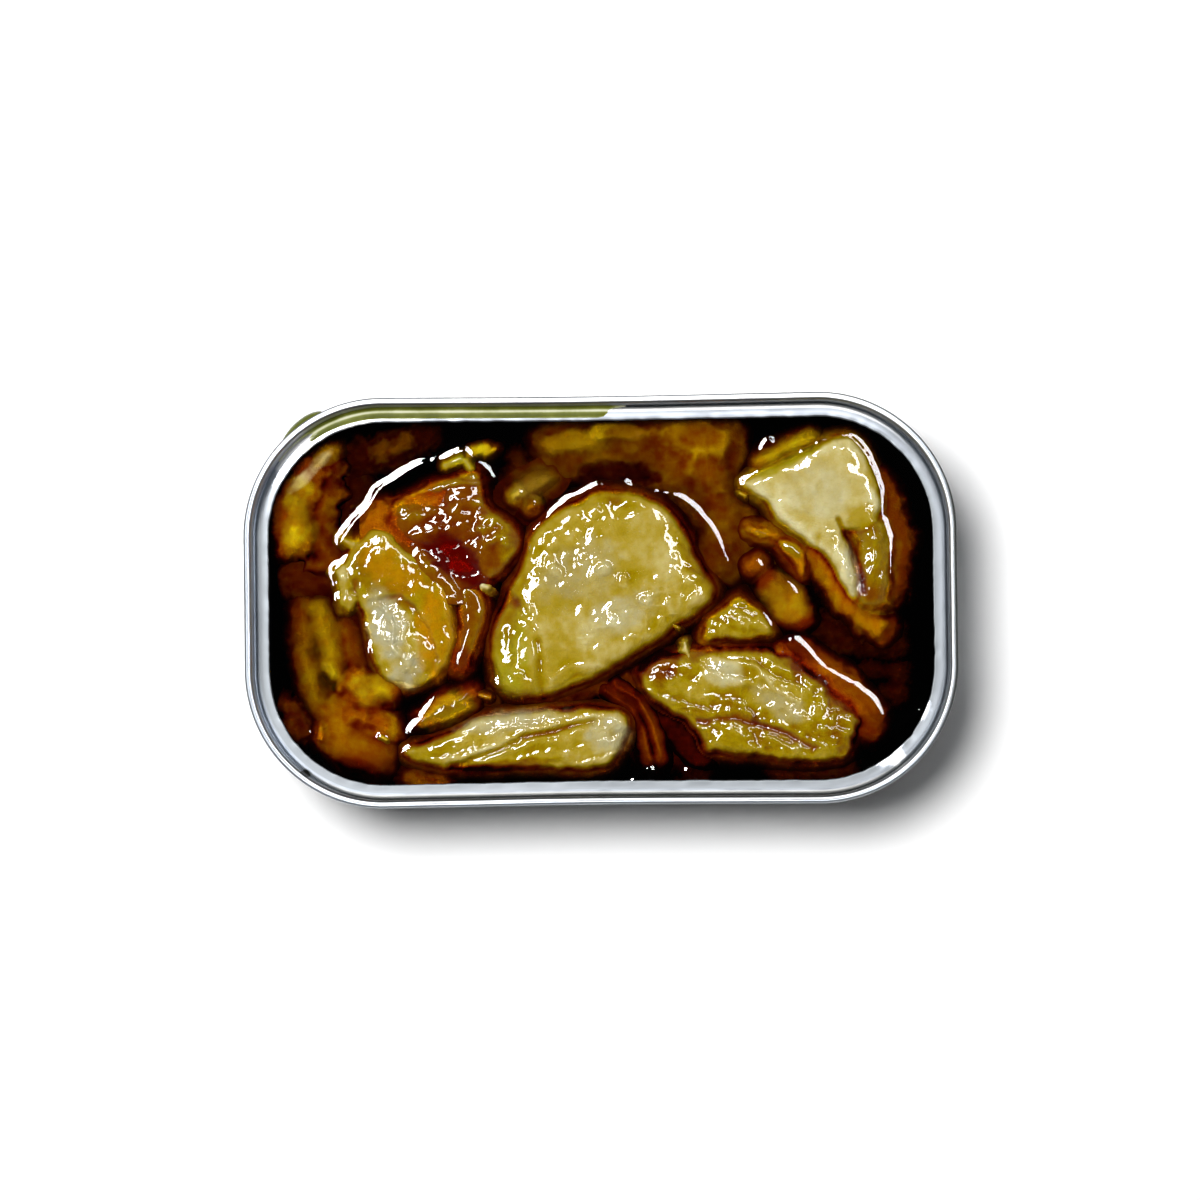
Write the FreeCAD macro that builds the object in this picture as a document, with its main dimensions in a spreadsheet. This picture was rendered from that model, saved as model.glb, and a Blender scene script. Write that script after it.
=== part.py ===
import FreeCAD, Part
import math
import os
import Sketcher
from FreeCAD import Placement, Rotation, Vector

# Open rectangular fish tin, lid peeled off: a drawn can body, the ring that is left of the easy-open end,
# oil, and the pieces of cod. Millimetres. X is along the tin, Y across it, Z up; the origin is the middle
# of the base. Pieces of cod are named by their place, seen from above with +Y as the back.

SIZES = [
    ("can_length", 104.4, "over the double seam, along X"),
    ("can_width", 60.2, "over the double seam, along Y"),
    ("can_height", 29.0, "base to the seam's crown"),
    ("corner_radius", 20.4, "outer edge of the seam, seen from above"),
    ("sheet", 0.22, "thickness of the aluminium sheet"),
    ("seam_gap", 0.03, "clearance between the layers of the double seam"),
    ("seam_height", 3.1, "crown to the lower edge of the seam"),
    ("hook_length", 2.0, "body hook and cover hook, each"),
    ("crown_bend", 0.45, "bend radius at the crown, mid sheet"),
    ("hook_bend", 0.24, "bend radius of both hooks, mid sheet"),
    ("countersink_depth", 4.1, "crown to the bottom of the groove inside the seam"),
    ("countersink_width", 0.89, "groove, between mid sheets"),
    ("countersink_bend", 0.42, "bend radius at the bottom of the groove, mid sheet"),
    ("panel_depth", 3.4, "crown to the top of the ring of panel that is left"),
    ("panel_bend", 0.3, "bend radius between the groove and the panel, mid sheet"),
    ("opening_length", 97.3, "torn edge of the panel, along X"),
    ("opening_width", 53.3, "torn edge of the panel, along Y"),
    ("opening_radius", 18.4, "corner of the torn edge"),
    ("score_step", 0.11, "half thickness left under the torn score line"),
    ("score_width", 0.25, "width of that thin lip"),
    ("heel_bend", 2.6, "bend radius between wall and base, mid sheet"),
    ("foot_width", 5.2, "wall to the step in the base"),
    ("step_run", 0.95, "width of that sloping step"),
    ("step_bend", 0.8, "bend radii of the step, mid sheet"),
    ("base_rise", 0.6, "how far the middle of the base is pressed up"),
    ("panel_inset", 12.0, "crown's outer edge to where the flat middle of the base starts"),
    ("oil_level", 24.1, "surface of the oil"),
    ("oil_gap", 0.02, "clearance between the oil and the sheet"),
    ("widest_depth", 0.9, "depth below the oil at which a piece of cod is widest"),
]

# One row for each piece of cod: name, height of its top, height of its underside, slope of the top along
# X and along Y, and the outline where it is widest.
COD = [
    ("cod_centre", 25.7, 1.2, 0.02, -0.02,
     [(-16.2, -10.4), (-16.1, -3.2), (-12.0, 5.4), (-10.2, 10.4), (-2.6, 15.8), (4.4, 16.2), (10.6, 13.8),
      (14.6, 6.8), (17.4, 0.9), (12.6, -3.4), (4.6, -8.4), (-6.8, -13.9), (-14.9, -13.6)]),
    ("cod_back_right", 25.8, 1.2, 0.03, 0.02,
     [(20.4, 17.0), (26.0, 20.2), (35.2, 24.0), (39.4, 21.4), (41.9, 14.2), (38.6, 9.6), (36.0, 9.4),
      (38.0, 3.6), (37.2, -0.6), (34.6, 2.8), (31.8, 6.9), (26.0, 11.0), (23.9, 14.4)]),
    ("cod_front_right", 25.6, 1.2, 0.01, -0.02,
     [(5.9, -9.9), (6.9, -14.2), (13.4, -19.3), (15.0, -22.4), (21.0, -23.2), (28.4, -24.2), (35.0, -23.6),
      (37.6, -18.0), (33.8, -13.6), (28.4, -8.4), (20.0, -6.9), (13.0, -7.0)]),
    ("cod_front_centre", 25.3, 1.2, 0.01, 0.04,
     [(-29.4, -21.8), (-23.0, -18.9), (-17.4, -16.4), (-10.0, -15.8), (1.6, -15.6), (4.0, -19.2),
      (2.0, -23.0), (-1.6, -24.8), (-14.0, -24.6), (-24.0, -24.2)]),
    ("cod_left_back", 25.3, 1.2, 0.0, 0.02,
     [(-31.6, 12.6), (-26.4, 17.2), (-17.6, 18.8), (-16.8, 14.6), (-12.2, 10.8), (-12.4, 7.0), (-16.8, 3.6),
      (-23.0, 6.9), (-27.8, 9.0)]),
    ("cod_left_middle", 25.5, 1.2, -0.02, 0.0,
     [(-38.2, 3.4), (-36.6, 8.6), (-32.0, 11.4), (-28.0, 8.0), (-23.6, 5.8), (-21.5, -1.6), (-22.4, -9.6),
      (-28.6, -12.6), (-34.0, -8.8), (-35.6, -1.0)]),
    ("cod_left_strip", 24.8, 8.0, 0.0, 0.0,
     [(-20.7, 3.0), (-17.2, 1.0), (-17.3, -4.6), (-19.4, -8.4), (-21.4, -9.8), (-20.7, -2.4)]),
    ("cod_back_centre", 24.5, 1.2, 0.0, 0.03,
     [(-9.8, 22.6), (-7.0, 26.4), (6.0, 27.6), (17.6, 27.2), (21.4, 22.6), (19.2, 15.6), (22.6, 12.4),
      (21.6, 5.6), (18.8, 2.6), (15.6, 8.0), (12.2, 14.2), (5.0, 17.2), (-3.0, 18.0)]),
    ("cod_far_left_back", 24.35, 1.2, 0.0, 0.0,
     [(-38.9, 21.6), (-45.2, 16.0), (-46.6, 7.4), (-40.4, 6.0), (-37.6, 12.6), (-33.4, 16.6)]),
    ("cod_far_left_front", 24.35, 1.2, 0.0, 0.0,
     [(-43.4, 1.0), (-39.4, 0.6), (-36.2, -8.8), (-31.4, -12.4), (-30.9, -19.6), (-36.6, -21.4),
      (-41.8, -15.6), (-43.6, -8.2)]),
    ("chip_right", 25.0, 16.0, 0.02, 0.02,
     [(18.7, -0.2), (21.3, 0.1), (24.4, -2.6), (25.4, -5.6), (20.0, -6.2), (14.9, -6.2), (15.4, -3.6)]),
    ("chip_front_left", 24.7, 14.0, 0.0, 0.0,
     [(-27.0, -17.6), (-24.0, -13.4), (-19.6, -14.2), (-19.2, -15.9), (-23.0, -18.0)]),
    ("chip_front_right", 24.6, 12.0, 0.0, 0.0,
     [(5.6, -14.6), (8.6, -17.6), (9.0, -23.8), (6.6, -24.8), (4.4, -22.4), (5.2, -18.6)]),
    ("chip_under_tail", 24.7, 18.0, 0.0, 0.0,
     [(25.8, 8.8), (28.6, 8.4), (30.4, 6.2), (29.8, 3.2), (27.6, 5.4)]),
    ("lump_right", 24.8, 18.0, 0.0, 0.0,
     [(25.0, 1.6), (27.6, 3.0), (29.8, 1.2), (30.0, -2.4), (27.4, -3.8), (25.2, -2.0)]),
    ("chip_back", 24.6, 21.0, 0.0, 0.0,
     [(-13.4, 15.6), (-11.6, 17.4), (-8.8, 19.0), (-6.5, 18.6), (-7.8, 16.9), (-11.0, 15.4)]),
]

# Shape of a piece from underside to top: share of its height (below and above the widest section), and
# size there as a share of the outline.
BELOW = [(0.0, 0.72), (0.12, 0.86), (0.5, 0.95), (1.0, 1.0)]
ABOVE = [(0.5, 0.94), (0.78, 0.82), (0.94, 0.62), (1.0, 0.34)]
LABEL_OF_SHEET = "Sizes"


def make_sheet(doc):
    """Spreadsheet with one row for each driving dimension."""
    sheet = doc.addObject("Spreadsheet::Sheet", LABEL_OF_SHEET)
    for row, (alias, value, note) in enumerate(SIZES, start=1):
        sheet.set(f"A{row}", alias)
        sheet.set(f"B{row}", str(value))
        sheet.set(f"C{row}", note)
        sheet.setAlias(f"B{row}", alias)
    doc.recompute()
    return sheet


def make_body(doc, name):
    """Empty PartDesign body whose label is the node's name."""
    body = doc.addObject("PartDesign::Body", name)
    body.Label = name
    return body


def origin_plane(body, role):
    """One of the body's own origin planes."""
    return next(plane for plane in body.Origin.OriginFeatures if plane.Role == role)


def new_sketch(body, name, role):
    """Empty sketch on an origin plane of its body."""
    sketch = body.newObject("Sketcher::SketchObject", name)
    sketch.AttachmentSupport = [(origin_plane(body, role), "")]
    sketch.MapMode = "FlatFace"
    return sketch


def bind(item, **expressions):
    """Bind properties of an object to cells of the sheet."""
    for name, expression in expressions.items():
        item.setExpression(name, expression)


def rounded_rectangle(body, name, length, width, radius, height="0"):
    """Sketch of a rounded rectangle about the Z axis, its sizes and its height bound to expressions.

    It starts at the middle of the +X side, where a section drawn on the XZ plane meets it squarely.
    """
    sketch = new_sketch(body, name, "XY_Plane")
    half_x, half_y, corner = 50.0, 30.0, 10.0
    flat_x, flat_y = half_x - corner, half_y - corner
    slant = corner * math.sqrt(0.5)

    def line(x1, y1, x2, y2):
        return Part.LineSegment(Vector(x1, y1, 0), Vector(x2, y2, 0))

    def arc(sign_x, sign_y, first, last):
        middle = Vector(sign_x * (flat_x + slant), sign_y * (flat_y + slant), 0)
        return Part.Arc(Vector(*first, 0), middle, Vector(*last, 0))

    sketch.addGeometry([
        line(half_x, 0, half_x, flat_y),
        arc(1, 1, (half_x, flat_y), (flat_x, half_y)),
        line(flat_x, half_y, -flat_x, half_y),
        arc(-1, 1, (-flat_x, half_y), (-half_x, flat_y)),
        line(-half_x, flat_y, -half_x, -flat_y),
        arc(-1, -1, (-half_x, -flat_y), (-flat_x, -half_y)),
        line(-flat_x, -half_y, flat_x, -half_y),
        arc(1, -1, (flat_x, -half_y), (half_x, -flat_y)),
        line(half_x, -flat_y, half_x, 0),
    ], False)
    tangents = [Sketcher.Constraint("Tangent", edge, 2, edge + 1, 1) for edge in range(8)]
    sketch.addConstraint(tangents + [
        Sketcher.Constraint("Coincident", 8, 2, 0, 1),
        Sketcher.Constraint("PointOnObject", 0, 1, -1),
        Sketcher.Constraint("Vertical", 0),
        Sketcher.Constraint("Vertical", 8),
        Sketcher.Constraint("Horizontal", 6),
        Sketcher.Constraint("Symmetric", 2, 1, 2, 2, -2),
        Sketcher.Constraint("Symmetric", 4, 1, 4, 2, -1),
        Sketcher.Constraint("Equal", 1, 3),
        Sketcher.Constraint("Equal", 1, 5),
        Sketcher.Constraint("Equal", 1, 7),
    ])
    drive(sketch, Sketcher.Constraint("Radius", 1, corner), radius)
    drive(sketch, Sketcher.Constraint("DistanceX", 4, 1, 0, 1, 2 * half_x), length)
    drive(sketch, Sketcher.Constraint("DistanceY", 6, 1, 2, 1, 2 * half_y), width)
    sketch.setExpression("AttachmentOffset.Base.z", height)
    return sketch


def drive(sketch, constraint, expression):
    """Add a dimension to a sketch and bind it to an expression."""
    index = sketch.addConstraint(constraint)
    sketch.setExpression(f"Constraints[{index}]", expression)


def inset_rectangle(body, name, inset, height="0"):
    """Rounded rectangle that runs at a distance inside the seam's outer edge."""
    return rounded_rectangle(
        body, name,
        f"Sizes.can_length - 2 * ({inset})",
        f"Sizes.can_width - 2 * ({inset})",
        f"Sizes.corner_radius - ({inset})",
        height)


def unit(start, end):
    """Unit vector from one point to another, as a pair."""
    length = math.dist(start, end)
    return ((end[0] - start[0]) / length, (end[1] - start[1]) / length)


def side_of_strip(corners, bends, shift):
    """One side of a bent strip, as straight runs and tangent arcs, shifted left of the mid line.

    corners are the mid line's corners, and bends the bend radii at the inner ones. An arc keeps its
    centre, so its radius grows or shrinks by the shift.
    """
    headings = [unit(start, end) for start, end in zip(corners, corners[1:])]
    edges = []
    start = moved(corners[0], headings[0], 0.0, shift)
    for corner, bend, into, away in zip(corners[1:], bends, headings, headings[1:]):
        turn = math.atan2(into[0] * away[1] - into[1] * away[0], into[0] * away[0] + into[1] * away[1])
        reach = bend * math.tan(abs(turn) / 2)
        side = math.copysign(1.0, turn)
        begin = moved(corner, into, -reach, shift)
        finish = moved(corner, away, reach, shift)
        centre = moved(corner, into, -reach, side * bend)
        half_way = ((into[0] + away[0]) / 2, (into[1] + away[1]) / 2)
        length = math.hypot(*half_way)
        outward = moved(centre, (half_way[0] / length, half_way[1] / length), 0.0, -side * bend + shift)
        edges += [Part.LineSegment(start, begin), Part.Arc(begin, outward, finish)]
        start = finish
    edges.append(Part.LineSegment(start, moved(corners[-1], headings[-1], 0.0, shift)))
    return edges


def moved(point, heading, along, left):
    """Point moved along a heading and to its left."""
    return Vector(point[0] + along * heading[0] - left * heading[1],
                  point[1] + along * heading[1] + left * heading[0], 0)


def strip_sketch(body, name, corners, bends, thickness):
    """Closed section of a bent strip of sheet on the XZ plane."""
    left = side_of_strip(corners, bends, thickness / 2)
    right = side_of_strip(corners, bends, -thickness / 2)
    caps = [Part.LineSegment(left[0].StartPoint, right[0].StartPoint),
            Part.LineSegment(left[-1].EndPoint, right[-1].EndPoint)]
    sketch = new_sketch(body, name, "XZ_Plane")
    sketch.addGeometry(left + right + caps, False)
    join_ends(sketch)
    return sketch


def join_ends(sketch):
    """Coincident constraints wherever two edges of a sketch end at one point."""
    ends = [(index, which) for index in range(sketch.GeometryCount) for which in (1, 2)]
    for place, first in enumerate(ends):
        for second in ends[place + 1:]:
            if first[0] != second[0] and sketch.getPoint(*first).distanceToPoint(sketch.getPoint(*second)) < 1e-6:
                sketch.addConstraint(Sketcher.Constraint("Coincident", *first, *second))


def swept_strip(body, name, corners, bends, thickness):
    """Bent strip of sheet swept round the tin's outline."""
    spine = inset_rectangle(body, name + "_path", "0")
    section = strip_sketch(body, name + "_section", corners, bends, thickness)
    pipe = body.newObject("PartDesign::AdditivePipe", name)
    pipe.Profile = section
    pipe.Spine = (spine, [])
    return pipe


def layer(sheet, number):
    """Distance from the seam's outer face to the mid sheet of one of its layers, the outermost being 0."""
    return (number + 0.5) * sheet.sheet + number * sheet.seam_gap


def make_can_body(doc, sheet):
    """Drawn body: pressed base, heel, wall, and the body hook folded outwards and down."""
    body = make_body(doc, "can_body")
    edge = sheet.can_length / 2
    half_sheet = sheet.sheet / 2
    wall = edge - layer(sheet, 3)
    hook = edge - layer(sheet, 1)
    hook_top = sheet.can_height - sheet.sheet - sheet.seam_gap - half_sheet
    panel_height = sheet.base_rise + half_sheet
    step = wall - sheet.foot_width
    corners = [
        (edge - sheet.panel_inset, panel_height),
        (step - sheet.step_run, panel_height),
        (step, half_sheet),
        (wall, half_sheet),
        (wall, hook_top),
        (hook, hook_top),
        (hook, hook_top - sheet.hook_length),
    ]
    bends = [sheet.step_bend, sheet.step_bend, sheet.heel_bend, sheet.hook_bend, sheet.hook_bend]
    swept_strip(body, "wall", corners, bends, sheet.sheet)

    outline = inset_rectangle(body, "base_outline", "Sizes.panel_inset", "Sizes.base_rise")
    base = body.newObject("PartDesign::Pad", "base")
    base.Profile = outline
    base.setExpression("Length", "Sizes.sheet")
    return body


def make_end_ring(doc, sheet):
    """What is left of the peeled end: cover hook, crown, chuck wall, countersink and a rim of panel."""
    body = make_body(doc, "end_ring")
    edge = sheet.can_length / 2
    half_sheet = sheet.sheet / 2
    crown = sheet.can_height - half_sheet
    seam_foot = sheet.can_height - sheet.seam_height + half_sheet
    countersink = sheet.can_height - sheet.countersink_depth + half_sheet
    panel = sheet.can_height - sheet.panel_depth - half_sheet
    cover_hook = edge - layer(sheet, 2)
    seam_face = edge - layer(sheet, 0)
    chuck_wall = edge - layer(sheet, 4)
    panel_wall = chuck_wall - sheet.countersink_width
    torn_edge = (sheet.can_length - sheet.opening_length) / 2
    corners = [
        (cover_hook, seam_foot + sheet.hook_length),
        (cover_hook, seam_foot),
        (seam_face, seam_foot),
        (seam_face, crown),
        (chuck_wall, crown),
        (chuck_wall, countersink),
        (panel_wall, countersink),
        (panel_wall, panel),
        (edge - 1.5 * torn_edge, panel),
    ]
    bends = [sheet.hook_bend, sheet.hook_bend, sheet.crown_bend, sheet.crown_bend,
             sheet.countersink_bend, sheet.countersink_bend, sheet.panel_bend]
    swept_strip(body, "ring", corners, bends, sheet.sheet)

    torn_outline = rounded_rectangle(body, "torn_outline", "Sizes.opening_length", "Sizes.opening_width",
                                     "Sizes.opening_radius", "Sizes.can_height")
    cut_away(doc, body, "opening", torn_outline, "Sizes.can_height")
    score_outline = rounded_rectangle(
        body, "score_outline",
        "Sizes.opening_length + 2 * Sizes.score_width",
        "Sizes.opening_width + 2 * Sizes.score_width",
        "Sizes.opening_radius + Sizes.score_width",
        "Sizes.can_height")
    cut_away(doc, body, "score", score_outline, "Sizes.panel_depth + Sizes.sheet - Sizes.score_step")
    return body


def cut_away(doc, body, name, sketch, depth):
    """Pocket downwards from a sketch; it must take some material away."""
    doc.recompute()
    before = body.Shape.Volume
    pocket = body.newObject("PartDesign::Pocket", name)
    pocket.Profile = sketch
    pocket.setExpression("Length", depth)
    doc.recompute()
    if not 0 < body.Shape.Volume < before - 1e-3:
        raise ValueError(f"{name} cuts nothing")


def make_oil_block(doc, sheet):
    """Oil that fills the can up to its level, before the pieces of cod are cut out of it."""
    body = make_body(doc, "oil_block")
    inset = "4 * Sizes.sheet + 3 * Sizes.seam_gap + Sizes.oil_gap"
    outline = inset_rectangle(body, "oil_outline", inset, "Sizes.sheet + Sizes.oil_gap")
    pad = body.newObject("PartDesign::Pad", "oil_pad")
    pad.Profile = outline
    pad.setExpression("Length", "Sizes.oil_level - Sizes.sheet - Sizes.oil_gap")
    doc.recompute()

    floor = sheet.sheet + sheet.oil_gap
    low_edges = [f"Edge{index}" for index, edge in enumerate(pad.Shape.Edges, start=1)
                 if edge.BoundBox.ZMax < floor + 1e-6]
    heel = body.newObject("PartDesign::Fillet", "oil_heel")
    heel.Base = (pad, low_edges)
    heel.setExpression("Radius", "Sizes.heel_bend - Sizes.sheet / 2 - Sizes.oil_gap")
    doc.recompute()

    step_inset = "3.5 * Sizes.sheet + 3 * Sizes.seam_gap + Sizes.foot_width - Sizes.sheet"
    step_outline = inset_rectangle(body, "oil_step", step_inset,
                                   "Sizes.base_rise + Sizes.sheet + Sizes.oil_gap")
    cut_away(doc, body, "over_base", step_outline, "Sizes.base_rise + Sizes.sheet")
    return body


def axis_of(outline):
    """Ends of the short line that a piece narrows towards: a point if it is round, longer if it is long."""
    count = len(outline)
    mid_x = sum(x for x, _ in outline) / count
    mid_y = sum(y for _, y in outline) / count
    spread_x = sum((x - mid_x) ** 2 for x, _ in outline)
    spread_y = sum((y - mid_y) ** 2 for _, y in outline)
    shared = sum((x - mid_x) * (y - mid_y) for x, y in outline)
    angle = 0.5 * math.atan2(2 * shared, spread_x - spread_y)
    along = (math.cos(angle), math.sin(angle))
    reach = [(x - mid_x) * along[0] + (y - mid_y) * along[1] for x, y in outline]
    girth = [(y - mid_y) * along[0] - (x - mid_x) * along[1] for x, y in outline]
    half = max(0.0, (max(reach) - min(reach)) - (max(girth) - min(girth))) / 2
    middle = (max(reach) + min(reach)) / 2
    return [(mid_x + (middle + end) * along[0], mid_y + (middle + end) * along[1]) for end in (-half, half)]


def nearest_on(axis, point):
    """Nearest point of a straight line between two ends."""
    (x1, y1), (x2, y2) = axis
    run_x, run_y = x2 - x1, y2 - y1
    square = run_x ** 2 + run_y ** 2
    share = 0.0 if square == 0 else ((point[0] - x1) * run_x + (point[1] - y1) * run_y) / square
    share = min(1.0, max(0.0, share))
    return (x1 + share * run_x, y1 + share * run_y)


def cod_section(outline, axis, size, height, slope_x, slope_y):
    """Points of the outline drawn in towards the axis, at a height, on a sloping plane."""
    points = []
    for point in outline:
        root = nearest_on(axis, point)
        x = root[0] + size * (point[0] - root[0])
        y = root[1] + size * (point[1] - root[1])
        rise = slope_x * (x - axis[0][0]) + slope_y * (y - axis[0][1])
        points.append(Vector(x, y, height + rise))
    return points


def poles_through(points):
    """Poles of the even, closed cubic spline that passes through the points, by repeated correction."""
    poles = list(points)
    for _ in range(40):
        poles = [pole + point - (before + pole * 4 + after) / 6
                 for point, before, pole, after in zip(points, poles[-1:] + poles[:-1], poles,
                                                       poles[1:] + poles[:1])]
    return poles


def rounded_solid(sections):
    """Solid with a smooth side over closed sections of equally many points, and flat ends."""
    around = len(sections[0])
    rows = len(sections)
    poles = [poles_through(section) for section in sections]
    side = Part.BSplineSurface()
    side.buildFromPolesMultsKnots(
        [[row[index] for row in poles] for index in range(around)],
        [1] * (around + 1), [3] + [1] * (rows - 3) + [3],
        list(range(around + 1)), list(range(rows - 1)),
        True, False, 3, 2)
    face = side.toShape()
    rims = [edge for edge in face.Edges if edge.isClosed()]
    caps = [Part.Face(Part.Wire([rim])) for rim in rims]
    shell = Part.Shell([face] + caps)
    shell.sewShape()
    solid = Part.Solid(shell)
    if solid.Volume < 0:
        solid.reverse()
    return solid


def make_cod(doc, sheet, name, top, foot, slope_x, slope_y, outline):
    """One piece of cod: smooth all round, narrower below, rounded over at the top."""
    axis = axis_of(outline)
    widest = sheet.oil_level - sheet.widest_depth
    sections = [cod_section(outline, axis, size, foot + share * (widest - foot), 0.0, 0.0)
                for share, size in BELOW]
    sections += [cod_section(outline, axis, size, widest + share * (top - widest),
                             share * slope_x, share * slope_y)
                 for share, size in ABOVE]
    piece = doc.addObject("Part::Feature", name)
    piece.Label = name
    piece.Shape = rounded_solid(sections)
    piece.Placement = Placement(Vector(0, 0, 0), Rotation())
    return piece


def make_oil(doc, block, pieces):
    """Oil round the pieces of cod."""
    cod = doc.addObject("Part::Compound", "all_cod")
    cod.Links = pieces
    oil = doc.addObject("Part::Cut", "oil")
    oil.Label = "oil"
    oil.Base = block
    oil.Tool = cod
    return oil


def check(doc, nodes):
    """Stop if any object of the document has failed, or a node has no valid solid."""
    for item in doc.Objects:
        if "Invalid" in item.State or "Error" in item.State:
            raise ValueError(f"{item.Label} failed: {item.State}")
    for node in nodes:
        if node.Shape.isNull() or not node.Shape.isValid():
            raise ValueError(f"{node.Label} has no valid shape")
        if len(node.Shape.Solids) != 1:
            raise ValueError(f"{node.Label} has {len(node.Shape.Solids)} solids")


def main():
    doc = FreeCAD.newDocument("cod_tin")
    sheet = make_sheet(doc)
    can_body = make_can_body(doc, sheet)
    end_ring = make_end_ring(doc, sheet)
    oil_block = make_oil_block(doc, sheet)
    pieces = [make_cod(doc, sheet, *row) for row in COD]
    oil = make_oil(doc, oil_block, pieces)
    doc.recompute()
    nodes = [can_body, end_ring, oil] + pieces
    check(doc, nodes)
    os.makedirs("parts", exist_ok=True)
    for node in nodes:
        node.Shape.exportStep(f"parts/{node.Label}.step")
        print(f"{node.Label}: {node.Shape.Volume / 1000:.2f} cm3")


main()
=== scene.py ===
import math
import bpy
import numpy as np
from mathutils import Matrix, Vector


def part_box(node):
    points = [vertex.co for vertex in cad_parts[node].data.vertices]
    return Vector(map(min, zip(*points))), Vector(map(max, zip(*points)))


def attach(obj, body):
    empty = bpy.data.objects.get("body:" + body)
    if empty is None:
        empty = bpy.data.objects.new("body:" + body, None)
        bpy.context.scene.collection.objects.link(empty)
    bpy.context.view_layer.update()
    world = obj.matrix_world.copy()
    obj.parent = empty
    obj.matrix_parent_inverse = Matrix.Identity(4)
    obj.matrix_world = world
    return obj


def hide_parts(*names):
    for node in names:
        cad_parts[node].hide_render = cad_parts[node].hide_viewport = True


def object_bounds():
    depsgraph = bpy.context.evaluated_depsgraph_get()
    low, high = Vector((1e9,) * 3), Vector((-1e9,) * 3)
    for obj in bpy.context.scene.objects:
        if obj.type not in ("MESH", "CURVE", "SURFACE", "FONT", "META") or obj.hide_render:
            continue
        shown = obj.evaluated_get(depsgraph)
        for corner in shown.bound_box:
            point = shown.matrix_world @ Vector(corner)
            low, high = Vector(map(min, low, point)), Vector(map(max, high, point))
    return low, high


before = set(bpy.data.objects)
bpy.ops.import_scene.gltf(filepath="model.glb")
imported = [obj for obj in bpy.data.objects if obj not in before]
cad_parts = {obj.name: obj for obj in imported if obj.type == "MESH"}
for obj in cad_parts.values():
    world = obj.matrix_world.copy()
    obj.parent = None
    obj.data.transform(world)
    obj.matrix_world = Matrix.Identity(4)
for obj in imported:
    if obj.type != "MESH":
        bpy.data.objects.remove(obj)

# Open cod tin: seamed rim and drawn body of bright sheet, pieces of cod, dark oil that creeps up them,
# and the loose flakes, crumbs and oil film on top. Shapes are worked out in millimetres in numpy arrays
# and put into meshes in metres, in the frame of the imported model.

MM = 0.001
CAD_LOW, CAD_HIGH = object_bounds()
TIN_LENGTH, TIN_WIDTH, TIN_HEIGHT = ((high - low) / MM for low, high in zip(CAD_LOW, CAD_HIGH))
TIN_CORNER = 20.4
OIL_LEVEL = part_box("oil")[1].z / MM

# ---------------------------------------------------------------- numbers and curves


def hashed(column, row, layer, seed):
    """Even random numbers from 0 to 1 at whole lattice places: the places multiplied, added and bit-mixed."""
    mixed = (column * 374761393 + row * 668265263 + layer * 2147483629 + seed * 974634777) & 0xFFFFFFFF
    mixed = ((mixed ^ (mixed >> 13)) * 1274126177) & 0xFFFFFFFF
    mixed = ((mixed ^ (mixed >> 15)) * 2246822519) & 0xFFFFFFFF
    return (mixed ^ (mixed >> 16)) / 2.0**32


def lump(places, size, seed):
    """Smooth noise from -1 to 1: random numbers at lattice corners, eased between them along each axis."""
    scaled = places / size
    base = np.floor(scaled).astype(np.int64)
    part = scaled - base
    ease = part * part * part * (part * (part * 6 - 15) + 10)
    total = 0.0
    for corner in range(8):
        step = np.array([corner & 1, corner >> 1 & 1, corner >> 2 & 1])
        weight = np.prod(np.where(step == 1, ease, 1 - ease), axis=-1)
        column, row, layer = (base[..., axis] + step[axis] for axis in range(3))
        total = total + weight * hashed(column, row, layer, seed)
    return total * 2 - 1


def rough_lumps(places, size, seed, octaves=3, fall=0.5):
    """Noise at several sizes: each octave half as large and weaker by the fall."""
    total, weight = 0.0, 1.0
    for octave in range(octaves):
        total = total + weight * lump(places, size / 2**octave, seed + 17 * octave)
        weight *= fall
    return total


def flat3(x, y, z=0.0):
    """Points from separate coordinates."""
    return np.stack(np.broadcast_arrays(x, y, z), axis=-1).astype(float)


def step_between(low, high, value):
    """Smooth step from 0 at low to 1 at high."""
    share = np.clip((value - low) / (high - low), 0, 1)
    return share * share * (3 - 2 * share)


def turned(x, y, degrees):
    """Coordinates along and across a direction."""
    angle = math.radians(degrees)
    return x * math.cos(angle) + y * math.sin(angle), y * math.cos(angle) - x * math.sin(angle)


def evenly(closed, count):
    """A closed line of points stepped evenly along its length."""
    loop = np.vstack([closed, closed[:1]])
    run = np.concatenate([[0], np.cumsum(np.linalg.norm(np.diff(loop, axis=0), axis=1))])
    places = np.linspace(0, run[-1], count, endpoint=False)
    return np.stack([np.interp(places, run, loop[:, axis]) for axis in range(loop.shape[1])], axis=1)


def outward(closed):
    """Unit normals of a closed line that runs round anticlockwise, pointing away from it."""
    along = np.roll(closed, -1, axis=0) - np.roll(closed, 1, axis=0)
    normal = np.stack([along[:, 1], -along[:, 0]], axis=1)
    return normal / np.linalg.norm(normal, axis=1, keepdims=True)


def inside_tin(x, y, inset):
    """Distance from a rounded rectangle at an inset inside the tin's outline; inside it is negative."""
    half_x, half_y, corner = TIN_LENGTH / 2 - inset, TIN_WIDTH / 2 - inset, TIN_CORNER - inset
    over_x = np.abs(x) - (half_x - corner)
    over_y = np.abs(y) - (half_y - corner)
    return (np.hypot(np.maximum(over_x, 0), np.maximum(over_y, 0)) + np.minimum(np.maximum(over_x, over_y), 0)
            - corner)


# ---------------------------------------------------------------- meshes


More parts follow.
